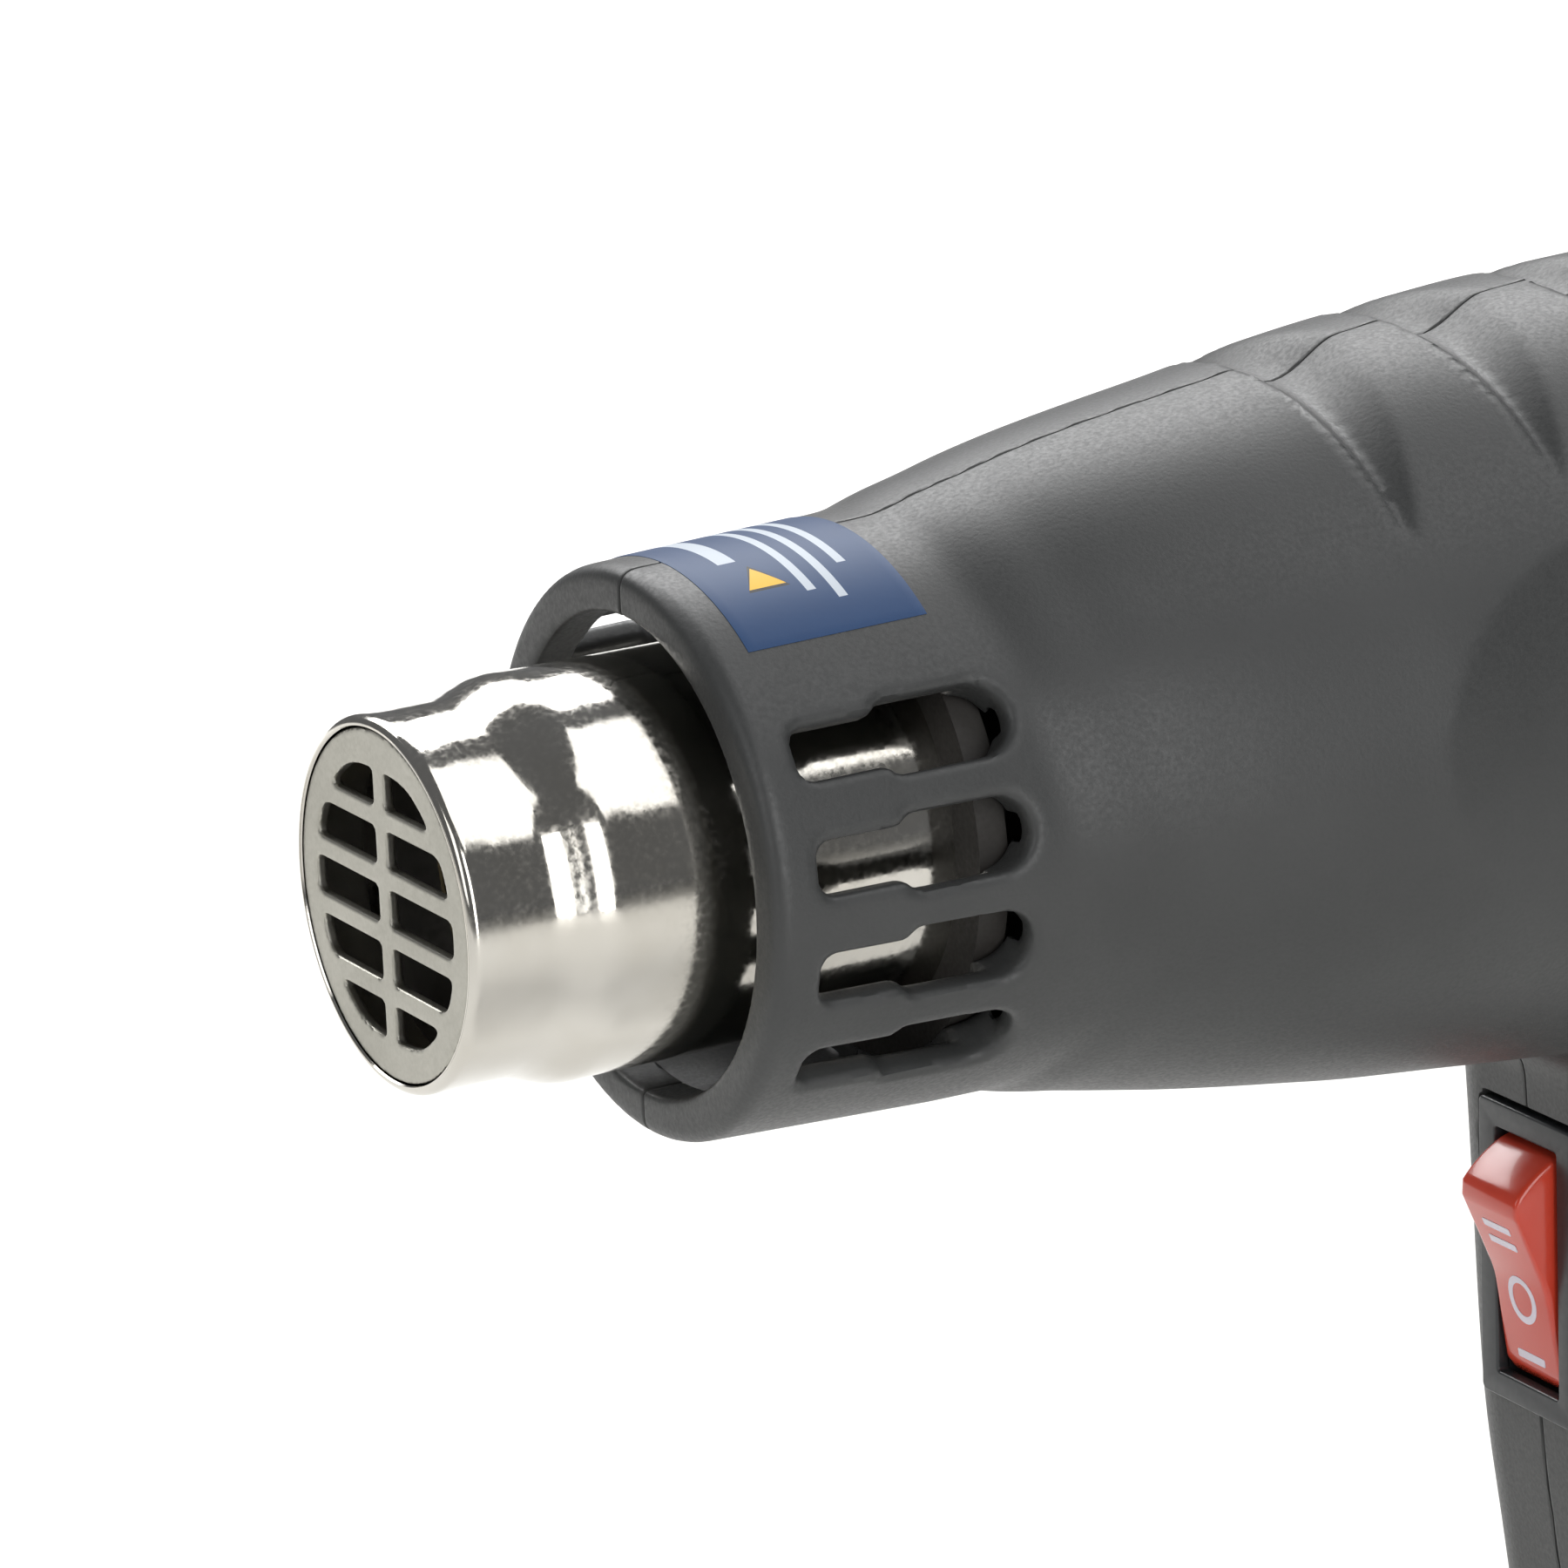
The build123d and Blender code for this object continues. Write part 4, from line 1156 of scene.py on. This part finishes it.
@dataclass(frozen=True)
class Switch:
    """Front frame and rocker of the switch; the rocker rests with its lower half pressed in."""

    pivot: Point = (128.85, -60.4)
    rest_tilt: float = 16.0
    tip: Point = (7.95, 10.5)
    bend: float = 6.66
    half_y: float = 4.75
    heart: float = 3.5
    soft_edge: tuple[Point, ...] = ((0.0, 0.62), (0.09, 0.3), (0.3, 0.09), (0.62, 0.0))
    bezel_x: Point = (123.3, 124.8)
    bezel_half: Point = (8.0, 15.6)
    mouth_half: Point = (5.2, 12.9)

    def rocker_frame(self) -> Matrix:
        """From (Y across, height above the pivot, depth out of the handle) in millimetres to the rest pose.

        Returns:
            The matrix.
        """
        x, z = self.pivot
        axes = Matrix(((0, 0, -1, 0), (1, 0, 0, 0), (0, 1, 0, 0), (0, 0, 0, 1)))
        tilt = Matrix.Rotation(radians(-self.rest_tilt), 4, "Y")
        return Matrix.Translation((x * MM, 0, z * MM)) @ tilt @ axes @ Matrix.Diagonal((MM, MM, MM, 1))

    def face_depth(self, v: float) -> float:
        """How far the rocker's face stands out of the pivot at a height v: a shallow V, rounded at its bend.

        Args:
            v: height above the pivot, in millimetres.

        Returns:
            The distance in millimetres.
        """
        u, top = self.tip
        slope = (u - self.bend) / top
        return self.bend + slope * (sqrt(v * v + 1.2) - sqrt(1.2))

    def rocker(self) -> None:
        """Loft the rocker across Y from its side outline, with a soft edge all round."""
        u, v = self.tip
        end = hypot(u, v)
        corner = atan2(v, u)
        face = [(self.face_depth(h), h) for h in np.linspace(v - 0.9, -v + 0.9, 25)]
        lower = [(end * cos(a), -end * sin(a)) for a in np.linspace(corner + 0.07, 1.45, 9)]
        upper = [(a, -b) for a, b in lower[::-1]]
        outline = face + lower + [(0.6, -end * sin(1.45)), (0.6, end * sin(1.45))] + upper
        rings = []
        steps = [(-self.half_y + d, inset) for d, inset in self.soft_edge]
        steps += [(self.half_y - d, inset) for d, inset in self.soft_edge[::-1]]
        for y, inset in steps:
            ring = []
            for a, b in outline:
                away = Vector((a - self.heart, b))
                moved = away * (1 - inset / away.length)
                ring.append((y, moved.y, self.heart + moved.x))
            rings.append(ring)
        count = len(outline)
        points = [p for ring in rings for p in ring]
        faces = []
        for i in range(len(rings) - 1):
            for j in range(count):
                k = (j + 1) % count
                faces.append((i * count + j, i * count + k, (i + 1) * count + k, (i + 1) * count + j))
        faces.append(tuple(range(count))[::-1])
        faces.append(tuple((len(rings) - 1) * count + j for j in range(count)))
        mesh = bpy.data.meshes.new("switch_rocker")
        mesh.from_pydata(points, [], faces)
        mesh.transform(self.rocker_frame())
        outward(mesh, 50)
        place("switch_rocker_cap", mesh, RED, ROCKER, "red_plastic", ["switch_rocker"])

    def marks(self) -> None:
        """Raised white marks on the face: two bars, a ring and one bar."""
        bars = [(6.9, 0.9), (4.9, 0.9), (-8.3, 0.9)]
        parts = []
        for height, width in bars:
            parts.append([rectangle(2.3, width / 2, 0.2, 3, height)])
        turns = np.linspace(0, 2 * pi, 40, False)
        parts.append([[(r * cos(a), -1.9 + r * 1.15 * sin(a)) for a in turns] for r in (2.3, 1.6)])
        meshes = []
        for outlines in parts:
            mesh = plate("mark", outlines, 0.0, 0.07, 0.02, Matrix.Identity(4), 1)
            work = bmesh.new()
            work.from_mesh(mesh)
            for vert in work.verts:
                vert.co.z += self.face_depth(vert.co.y) - 0.02
            work.to_mesh(mesh)
            work.free()
            mesh.transform(self.rocker_frame())
            meshes.append(mesh)
        place("rocker_marks", joined("rocker_marks", meshes, 40), WHITE_INK, ROCKER, "red_plastic")

    def bezel(self) -> None:
        """Front frame: a plate with rounded corners and a rectangular mouth."""
        z = self.pivot[1]
        place_of = Matrix(((0, 0, -MM, 0), (MM, 0, 0, 0), (0, MM, 0, z * MM), (0, 0, 0, 1)))
        outlines = [rectangle(*self.bezel_half, 0.8, 5), rectangle(*self.mouth_half, 0.35, 5)]
        mesh = plate("switch_bezel", outlines, -self.bezel_x[1], -self.bezel_x[0], 0.3, place_of, 3, 40)
        place("switch_bezel_frame", mesh, DARK, GUN, "dark_plastic", ["switch_bezel"])

    def build(self) -> None:
        """Make the rocker, its marks and the front frame."""
        self.rocker()
        self.marks()
        self.bezel()


# ---------------------------------------------------------------- rear end


@dataclass(frozen=True)
class RearCap:
    """Cap with a slotted rear wall, and the rubber standing ring."""

    x: Point = (204.5, 229.0)
    wall: float = 2.8
    screw_radius: float = 27.5
    stand: tuple[float, float, float, float] = (30.9, 34.9, 227.2, 232.0)

    def field(self, x: Array, y: Array, z: Array) -> Array:
        """Field of the cap.

        Args:
            x: places along the barrel, in millimetres.
            y: places across it.
            z: heights.

        Returns:
            The field.
        """
        away = np.hypot(y, z)
        radius = curve_through([(204.5, 37.4), (216, 36.95), (225, 36.5), (229, 36.1)], x)
        body = smooth_max(away - radius, x - self.x[1], 1.6)
        body = smooth_max(body, self.x[0] - x, 0.4)
        hollow = np.maximum(away - radius + self.wall, x - self.x[1] + 3.0)
        posts = np.minimum.reduce([np.hypot(y - a, z - b) for a, b in self.screw_places()])
        hollow = smooth_max(hollow, 3.8 - posts, 0.6)
        body = np.maximum(body, -hollow)
        turn = (np.arctan2(z, y) + pi / 16) % (pi / 8) - pi / 16
        slots = box_field(away * np.cos(turn) - 15.0, away * np.sin(turn), 7.75, 1.6, 1.55)
        body = smooth_max(body, -slots, 0.5)
        body = smooth_max(body, -np.maximum(posts - 3.3, self.x[1] - 2.4 - x), 0.4)
        body = np.maximum(body, 1.75 - posts)
        groove = np.maximum(np.abs(away - 32.9) - 2.0, self.stand[2] - x)
        return np.maximum(body, -groove)

    def screw_places(self) -> list[Point]:
        """(y, z) of the cap's screws."""
        turns = np.arange(4) * pi / 2 + pi / 4
        return [(self.screw_radius * cos(a), self.screw_radius * sin(a)) for a in turns]

    def build(self) -> None:
        """Mesh the cap and turn the rubber ring."""
        across = spaced([(-38.4, 0.72)], 38.4)
        skin = Skin(self.field, spaced([(203.6, 0.45), (206, 1.1), (224, 0.55)], 229.8), across, across)
        place("rear_cap_shell", skin.mesh("rear_cap"), HOUSING, GUN, "charcoal_plastic", ["rear_cap"])
        r0, r1, x0, x1 = self.stand
        crown = [(x0, r0, 0.2), (x0, r1, 0.2), (x1 - 0.9, r1, 0.4), (x1, r1 - 0.6, 0.5), (x1, r1 - 1.5, 0.3),
                 (x1 - 0.5, r1 - 1.8, 0.2), (x1 - 0.5, r0 + 1.8, 0.2), (x1, r0 + 1.5, 0.3), (x1, r0 + 0.6, 0.5),
                 (x1 - 0.9, r0, 0.4)]
        place("standing_ring_rubber", lathe("standing_ring", rounded(crown, 3), 160), RUBBER, GUN, "rubber",
              ["standing_ring"])


# ---------------------------------------------------------------- what repeats


class Repeats:
    """Builds a Geometry Nodes tree in steps and turns its result into a plain mesh."""

    def __init__(self, name: str) -> None:
        """Start an empty tree with a geometry input and output."""
        self.tree = bpy.data.node_groups.new(name, "GeometryNodeTree")
        self.tree.interface.new_socket("Geometry", in_out="INPUT", socket_type="NodeSocketGeometry")
        self.tree.interface.new_socket("Geometry", in_out="OUTPUT", socket_type="NodeSocketGeometry")
        self.source = self.tree.nodes.new("NodeGroupInput")
        self.values: dict[str, float | int] = {}

    def size(self, name: str, value: float | int) -> bpy.types.NodeSocket:
        """Add a named input and return its socket.

        Args:
            name: the input's name.
            value: its size.

        Returns:
            The socket that gives the value inside the tree.
        """
        kind = "NodeSocketInt" if isinstance(value, int) else "NodeSocketFloat"
        socket = self.tree.interface.new_socket(name, in_out="INPUT", socket_type=kind)
        self.values[socket.identifier] = value
        return self.source.outputs[name]

    def node(self, kind: str, links: dict | None = None, **settings) -> bpy.types.Node:
        """Add a node to the tree."""
        return add(self.tree, kind, links, **settings)

    def result(self, geometry: bpy.types.NodeSocket, points: Sequence[tuple[float, float, float]], finish: Finish,
               smooth_deg: float = 35.0, edges: Sequence[tuple[int, int]] = ()) -> bpy.types.Mesh:
        """Finish the tree and evaluate it on a mesh of points, loose or joined into lines.

        Args:
            geometry: what the tree makes, with its instances.
            points: the points, in millimetres, that the tree gets as its input.
            finish: the material set at the end.
            smooth_deg: edges above this angle stay sharp.
            edges: pairs of point numbers that are joined.

        Returns:
            The plain mesh.
        """
        real = self.node("GeometryNodeRealizeInstances", {0: geometry})
        dressed = self.node("GeometryNodeSetMaterial", {"Geometry": real.outputs[0]})
        dressed.inputs["Material"].default_value = PAINTS.get(finish)
        self.node("NodeGroupOutput", {0: dressed.outputs[0]})
        base = bpy.data.meshes.new(self.tree.name + "_points")
        base.from_pydata([tuple(c * MM for c in p) for p in points], edges, [])
        holder = bpy.data.objects.new(self.tree.name + "_holder", base)
        modifier = holder.modifiers.new("nodes", "NODES")
        modifier.node_group = self.tree
        for identifier, value in self.values.items():
            modifier[identifier] = value
        bpy.context.scene.collection.objects.link(holder)
        depsgraph = bpy.context.evaluated_depsgraph_get()
        mesh = bpy.data.meshes.new_from_object(holder.evaluated_get(depsgraph), depsgraph=depsgraph)
        holder.modifiers.clear()
        bpy.data.objects.remove(holder)
        bpy.data.meshes.remove(base)
        mesh.name = self.tree.name
        soften(mesh, smooth_deg)
        return mesh


@dataclass(frozen=True)
class PanScrew:
    """Pan-head screw with a cross recess, copied to every place it is used."""

    shank_radius: float
    head_radius: float
    head: float
    length: float
    turn: tuple[float, float, float]

    def place_all(self, name: str, seats: Sequence[tuple[float, float, float]], slot: str, node: str) -> None:
        """Put one screw at every seat.

        Args:
            name: the piece's name.
            seats: where the head's underside sits, in millimetres.
            slot: the record's material slot.
            node: the CAD node that the screws stand for.
        """
        nodes = Repeats(name)
        shank_r = nodes.size("Shank radius", self.shank_radius * MM)
        head_r = nodes.size("Head radius", self.head_radius * MM)
        head_h = nodes.size("Head height", self.head * MM)
        length = nodes.size("Length", self.length * MM)
        shank = nodes.node("GeometryNodeMeshCylinder", {"Vertices": 32, "Radius": shank_r, "Depth": length})
        drop = nodes.node("ShaderNodeMath", {0: length, 1: -0.5}, operation="MULTIPLY")
        shift = nodes.node("ShaderNodeCombineXYZ", {2: drop.outputs[0]})
        shank = nodes.node("GeometryNodeTransform", {"Geometry": shank.outputs[0],
                                                     "Translation": shift.outputs[0]})
        head = nodes.node("GeometryNodeMeshCylinder", {"Vertices": 48, "Side Segments": 1, "Fill Segments": 5,
                                                       "Radius": head_r, "Depth": head_h})
        head = self.crown(nodes, head.outputs[0], head_r, head_h)
        slot_size = (self.head_radius * 1.15 * MM, 0.62 * MM, 2.4 * MM)
        recess = nodes.node("GeometryNodeMeshCube", {"Size": slot_size})
        crossed = nodes.node("GeometryNodeTransform", {"Geometry": recess.outputs[0],
                                                       "Rotation": (0.0, 0.0, pi / 2)})
        top = nodes.node("ShaderNodeCombineXYZ", {2: head_h})
        cutters = []
        for cutter in (recess.outputs[0], crossed.outputs[0]):
            cutters.append(nodes.node("GeometryNodeTransform", {"Geometry": cutter,
                                                                "Translation": top.outputs[0]}))
        cut = nodes.node("GeometryNodeMeshBoolean", {"Mesh 1": head}, operation="DIFFERENCE", solver="EXACT")
        for cutter in cutters:
            nodes.tree.links.new(cutter.outputs[0], cut.inputs["Mesh 2"])
        screw = nodes.node("GeometryNodeJoinGeometry")
        for part in (cut.outputs[0], shank.outputs[0]):
            nodes.tree.links.new(part, screw.inputs[0])
        copies = nodes.node("GeometryNodeInstanceOnPoints", {"Points": nodes.source.outputs[0],
                                                             "Instance": screw.outputs[0],
                                                             "Rotation": self.turn})
        mesh = nodes.result(copies.outputs[0], seats, ZINC, 30)
        place(name, mesh, ZINC, GUN, slot, [node])

    def crown(self, nodes: Repeats, head: bpy.types.NodeSocket, radius: bpy.types.NodeSocket,
              height: bpy.types.NodeSocket) -> bpy.types.NodeSocket:
        """Lift the head onto its seat and dome its upper face.

        Args:
            nodes: the tree being built.
            head: the flat head.
            radius: its radius.
            height: its height.

        Returns:
            The domed head.
        """
        spot = nodes.node("GeometryNodeInputPosition")
        split = nodes.node("ShaderNodeSeparateXYZ", {0: spot.outputs[0]})
        flat = nodes.node("ShaderNodeCombineXYZ", {0: split.outputs[0], 1: split.outputs[1]})
        away = nodes.node("ShaderNodeVectorMath", {0: flat.outputs[0]}, operation="LENGTH")
        share = nodes.node("ShaderNodeMath", {0: away.outputs["Value"], 1: radius}, operation="DIVIDE")
        square = nodes.node("ShaderNodeMath", {0: share.outputs[0], 1: 3.0}, operation="POWER")
        sink = nodes.node("ShaderNodeMath", {0: square.outputs[0], 1: -0.45}, operation="MULTIPLY")
        sink = nodes.node("ShaderNodeMath", {0: sink.outputs[0], 1: height}, operation="MULTIPLY")
        upper = nodes.node("ShaderNodeMath", {0: split.outputs[2], 1: 0.0}, operation="GREATER_THAN")
        sink = nodes.node("ShaderNodeMath", {0: sink.outputs[0], 1: upper.outputs[0]}, operation="MULTIPLY")
        lift = nodes.node("ShaderNodeMath", {0: height, 1: 0.5, 2: sink.outputs[0]}, operation="MULTIPLY_ADD")
        offset = nodes.node("ShaderNodeCombineXYZ", {2: lift.outputs[0]})
        moved = nodes.node("GeometryNodeSetPosition", {"Geometry": head, "Offset": offset.outputs[0]})
        return moved.outputs[0]


@dataclass(frozen=True)
class HeaterCoils:
    """Eight wire coils in the core's channels."""

    count: int = 8
    circle: float = 11.2
    coil_radius: float = 1.9
    wire: float = 0.35
    x: Point = (16.2, 85.8)
    turns: int = 52

    def build(self) -> None:
        """Wind one coil and copy it round the core."""
        nodes = Repeats("heater_coil_wires")
        length = nodes.size("Length", (self.x[1] - self.x[0]) * MM)
        radius = nodes.size("Coil radius", self.coil_radius * MM)
        turns = nodes.size("Turns", float(self.turns))
        wire = nodes.size("Wire radius", self.wire * MM)
        spiral = nodes.node("GeometryNodeCurveSpiral", {
            "Resolution": 10, "Rotations": turns, "Start Radius": radius, "End Radius": radius, "Height": length})
        section = nodes.node("GeometryNodeCurvePrimitiveCircle", {"Resolution": 5, "Radius": wire})
        coil = nodes.node("GeometryNodeCurveToMesh", {
            "Curve": spiral.outputs[0], "Profile Curve": section.outputs[0], "Fill Caps": True})
        copies = nodes.node("GeometryNodeInstanceOnPoints", {"Points": nodes.source.outputs[0],
                                                             "Instance": coil.outputs[0],
                                                             "Rotation": (0.0, pi / 2, 0.0)})
        spots = [(self.x[0], self.circle * cos(a), self.circle * sin(a))
                 for a in np.arange(self.count) * 2 * pi / self.count]
        mesh = nodes.result(copies.outputs[0], spots, OXIDE, 60)
        place("heater_coil_wires", mesh, OXIDE, GUN, "heater_wire", ["heater_coils"])


@dataclass(frozen=True)
class IntakeScreen:
    """Woven wire disc behind the rear cap: two layers of wires that pass over and under each other."""

    x: float = 202.5
    radius: float = 23.8
    pitch: float = 1.9
    wire: float = 0.24

    def build(self) -> None:
        """Weave the wires inside a rim."""
        nodes = Repeats("intake_screen_weave")
        wire = nodes.size("Wire radius", self.wire * MM)
        section = nodes.node("GeometryNodeCurvePrimitiveCircle", {"Resolution": 5, "Radius": wire})
        curve = nodes.node("GeometryNodeMeshToCurve", {"Mesh": nodes.source.outputs[0]})
        tube = nodes.node("GeometryNodeCurveToMesh", {
            "Curve": curve.outputs[0], "Profile Curve": section.outputs[0], "Fill Caps": True})
        points, edges = self.threads()
        mesh = nodes.result(tube.outputs[0], points, SATIN, 60, edges)
        outline = [(202.0, 23.0, 0.1), (202.0, 23.8, 0.2), (203.0, 23.8, 0.2), (203.0, 23.0, 0.1)]
        rim = lathe("rim", rounded(outline, 3), 128)
        place("intake_screen_weave", joined("intake_screen", [mesh, rim], 60), SATIN, GUN, "satin_steel",
              ["intake_screen"])

    def threads(self) -> tuple[list[tuple[float, float, float]], list[tuple[int, int]]]:
        """The middle lines of the wires, both ways across the disc.

        Returns:
            Their points in millimetres, and the pairs of points that are joined.
        """
        points, edges = [], []
        count = int(self.radius / self.pitch)
        for way in (0, 1):
            for i in range(-count, count + 1):
                off = i * self.pitch
                reach = sqrt(max(self.radius ** 2 - off ** 2, 0)) - 0.6
                steps = max(2, int(2 * reach / (self.pitch / 2)))
                edges += [(len(points) + k, len(points) + k + 1) for k in range(steps - 1)]
                for t in np.linspace(-reach, reach, steps):
                    weave = self.wire * cos(pi * t / self.pitch) * (1 if (i + way) % 2 else -1)
                    spot = (off, t) if way == 0 else (t, off)
                    points.append((self.x + weave, *spot))
        return points, edges


# ---------------------------------------------------------------- the other parts and the studio


CARRIED: dict[Finish, tuple[str, ...]] = {
    FIBRE: ("seat_ring", "heater_end_discs"),
    ZINC: ("flange_screws", "clamp_screws"),
    CERAMIC: ("heater_core", "terminal_block"),
    MICA: ("mica_sleeve",),
    SATIN: ("thermal_cutout",),
    DARK: ("fan_duct", "fan", "motor_mount", "switch_body", "cord_clamp"),
    ROLLED: ("motor_can", "motor_shaft", "rocker_pin"),
    FERRITE: ("motor_magnets",),
    PHENOLIC: ("motor_end_cap",),
    BRONZE: ("motor_bushings",),
    CARBON: ("carbon_brushes",),
    BRASS: ("motor_terminals", "contact_bridge", "switch_terminals"),
    STACK: ("motor_armature",),
    COPPER: ("motor_windings", "commutator"),
    BOARD: ("control_board",),
    YELLOW: ("capacitor",),
    EPOXY: ("choke", "rectifier_diodes"),
    RUBBER: ("cord_inlet",),
    WIRE_RED: ("motor_leads",),
    WIRE_BLUE: ("supply_leads",),
}


def dress_carried() -> None:
    """Give every CAD part that stays its finish."""
    for finish, names in CARRIED.items():
        for name in names:
            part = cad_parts[name]
            if not part.material_slots:
                part.data.materials.append(PAINTS.get(finish))
            for holder in part.material_slots:
                holder.material = PAINTS.get(finish)
            log.info("%s carried over in %s", name, finish.name)


@dataclass(frozen=True)
class Studio:
    """Pale floor, soft lights and the camera."""

    eye: tuple[float, float, float] = (-292.293, -598.120, 206.158)
    azimuth: float = -29.17
    elevation: float = 16.45
    roll: float = -2.35
    lens: float = 178.93

    def camera(self) -> None:
        """Set the camera at the chosen viewing angle."""
        a, e, turn = radians(self.azimuth), radians(self.elevation), radians(self.roll)
        back = Vector((sin(a) * cos(e), -cos(a) * cos(e), sin(e)))
        side = (-back).cross(Vector((0, 0, 1))).normalized()
        top = side.cross(-back)
        right = cos(turn) * side + sin(turn) * top
        up = -sin(turn) * side + cos(turn) * top
        data = bpy.data.cameras.new("camera")
        data.lens, data.sensor_width, data.clip_end = self.lens, 36.0, 50.0
        camera = bpy.data.objects.new("camera", data)
        axes = Matrix((right, up, back)).transposed().to_4x4()
        camera.matrix_world = Matrix.Translation(Vector(self.eye) * MM) @ axes
        bpy.context.scene.collection.objects.link(camera)
        bpy.context.scene.camera = camera

    def light(self, name: str, at: tuple, to: tuple, size: Point, watts: float) -> None:
        """Add one soft white rectangular light.

        Args:
            name: the light's name.
            at: where it stands, in metres.
            to: the point it faces, in metres.
            size: its width and height, in metres.
            watts: its power.
        """
        data = bpy.data.lights.new(name, "AREA")
        data.shape, data.size, data.size_y = "RECTANGLE", size[0], size[1]
        data.energy = watts
        lamp = bpy.data.objects.new(name, data)
        lamp.location = at
        lamp.rotation_euler = (Vector(to) - Vector(at)).to_track_quat("-Z", "Y").to_euler()
        bpy.context.scene.collection.objects.link(lamp)

    def floor(self) -> None:
        """Large pale floor under the handle."""
        level = CAD_BOX[0][2]
        mesh = bpy.data.meshes.new("floor")
        mesh.from_pydata([(x, y, level) for x, y in ((-6, -6), (6, -6), (6, 6), (-6, 6))], [], [(0, 1, 2, 3)])
        material = bpy.data.materials.new("floor_pale")
        material.use_nodes = True
        shader = material.node_tree.nodes["Principled BSDF"]
        shader.inputs["Base Color"].default_value = linear("F7F6F3")
        shader.inputs["Roughness"].default_value = 0.9
        mesh.materials.append(material)
        floor = bpy.data.objects.new("floor", mesh)
        bpy.context.scene.collection.objects.link(floor)

    def world(self) -> None:
        """Even pale surroundings."""
        world = bpy.data.worlds.new("studio")
        world.use_nodes = True
        background = world.node_tree.nodes["Background"]
        background.inputs["Color"].default_value = linear("F4F6FA")
        background.inputs["Strength"].default_value = 0.17
        bpy.context.scene.world = world
        bpy.context.scene.view_settings.view_transform = "Standard"

    def build(self) -> None:
        """Set up floor, surroundings, lights and camera."""
        self.camera()
        self.floor()
        self.world()
        self.light("overhead", (0.52, -0.30, 0.88), (0.0, 0, 0), (0.9, 0.62), 3.6)
        self.light("front", (0.02, -1.12, 0.34), (0.05, 0, 0), (0.46, 1.0), 6.0)
        self.light("left", (-0.95, -0.45, 0.45), (0.05, 0, 0), (0.5, 0.8), 2.6)
        self.light("backdrop", (0.5, 1.5, 1.25), (0.3, 0.9, -0.16), (2.6, 1.2), 60.0)


def main() -> None:
    """Build every sub-assembly in order."""
    logging.basicConfig(level=logging.INFO, format="%(message)s")
    Studio().build()
    housing = Housing()
    housing.build()
    nozzle = Nozzle()
    nozzle.tube()
    nozzle.grille()
    Label().build(housing)
    Switch().build()
    cap = RearCap()
    cap.build()
    PanScrew(1.45, 3.0, 2.1, 14.0, (-pi / 2, 0.0, 0.0)).place_all(
        "housing_screw_set", [(x, housing.screw_seat, z) for x, z in housing.screws], "zinc_screw",
        "housing_screws")
    PanScrew(1.45, 3.0, 2.1, 32.0, (0.0, pi / 2, 0.0)).place_all(
        "cap_screw_set", [(cap.x[1] - 2.4, y, z) for y, z in cap.screw_places()], "zinc_screw", "cap_screws")
    HeaterCoils().build()
    IntakeScreen().build()
    dress_carried()


if __name__ == "__main__":
    main()
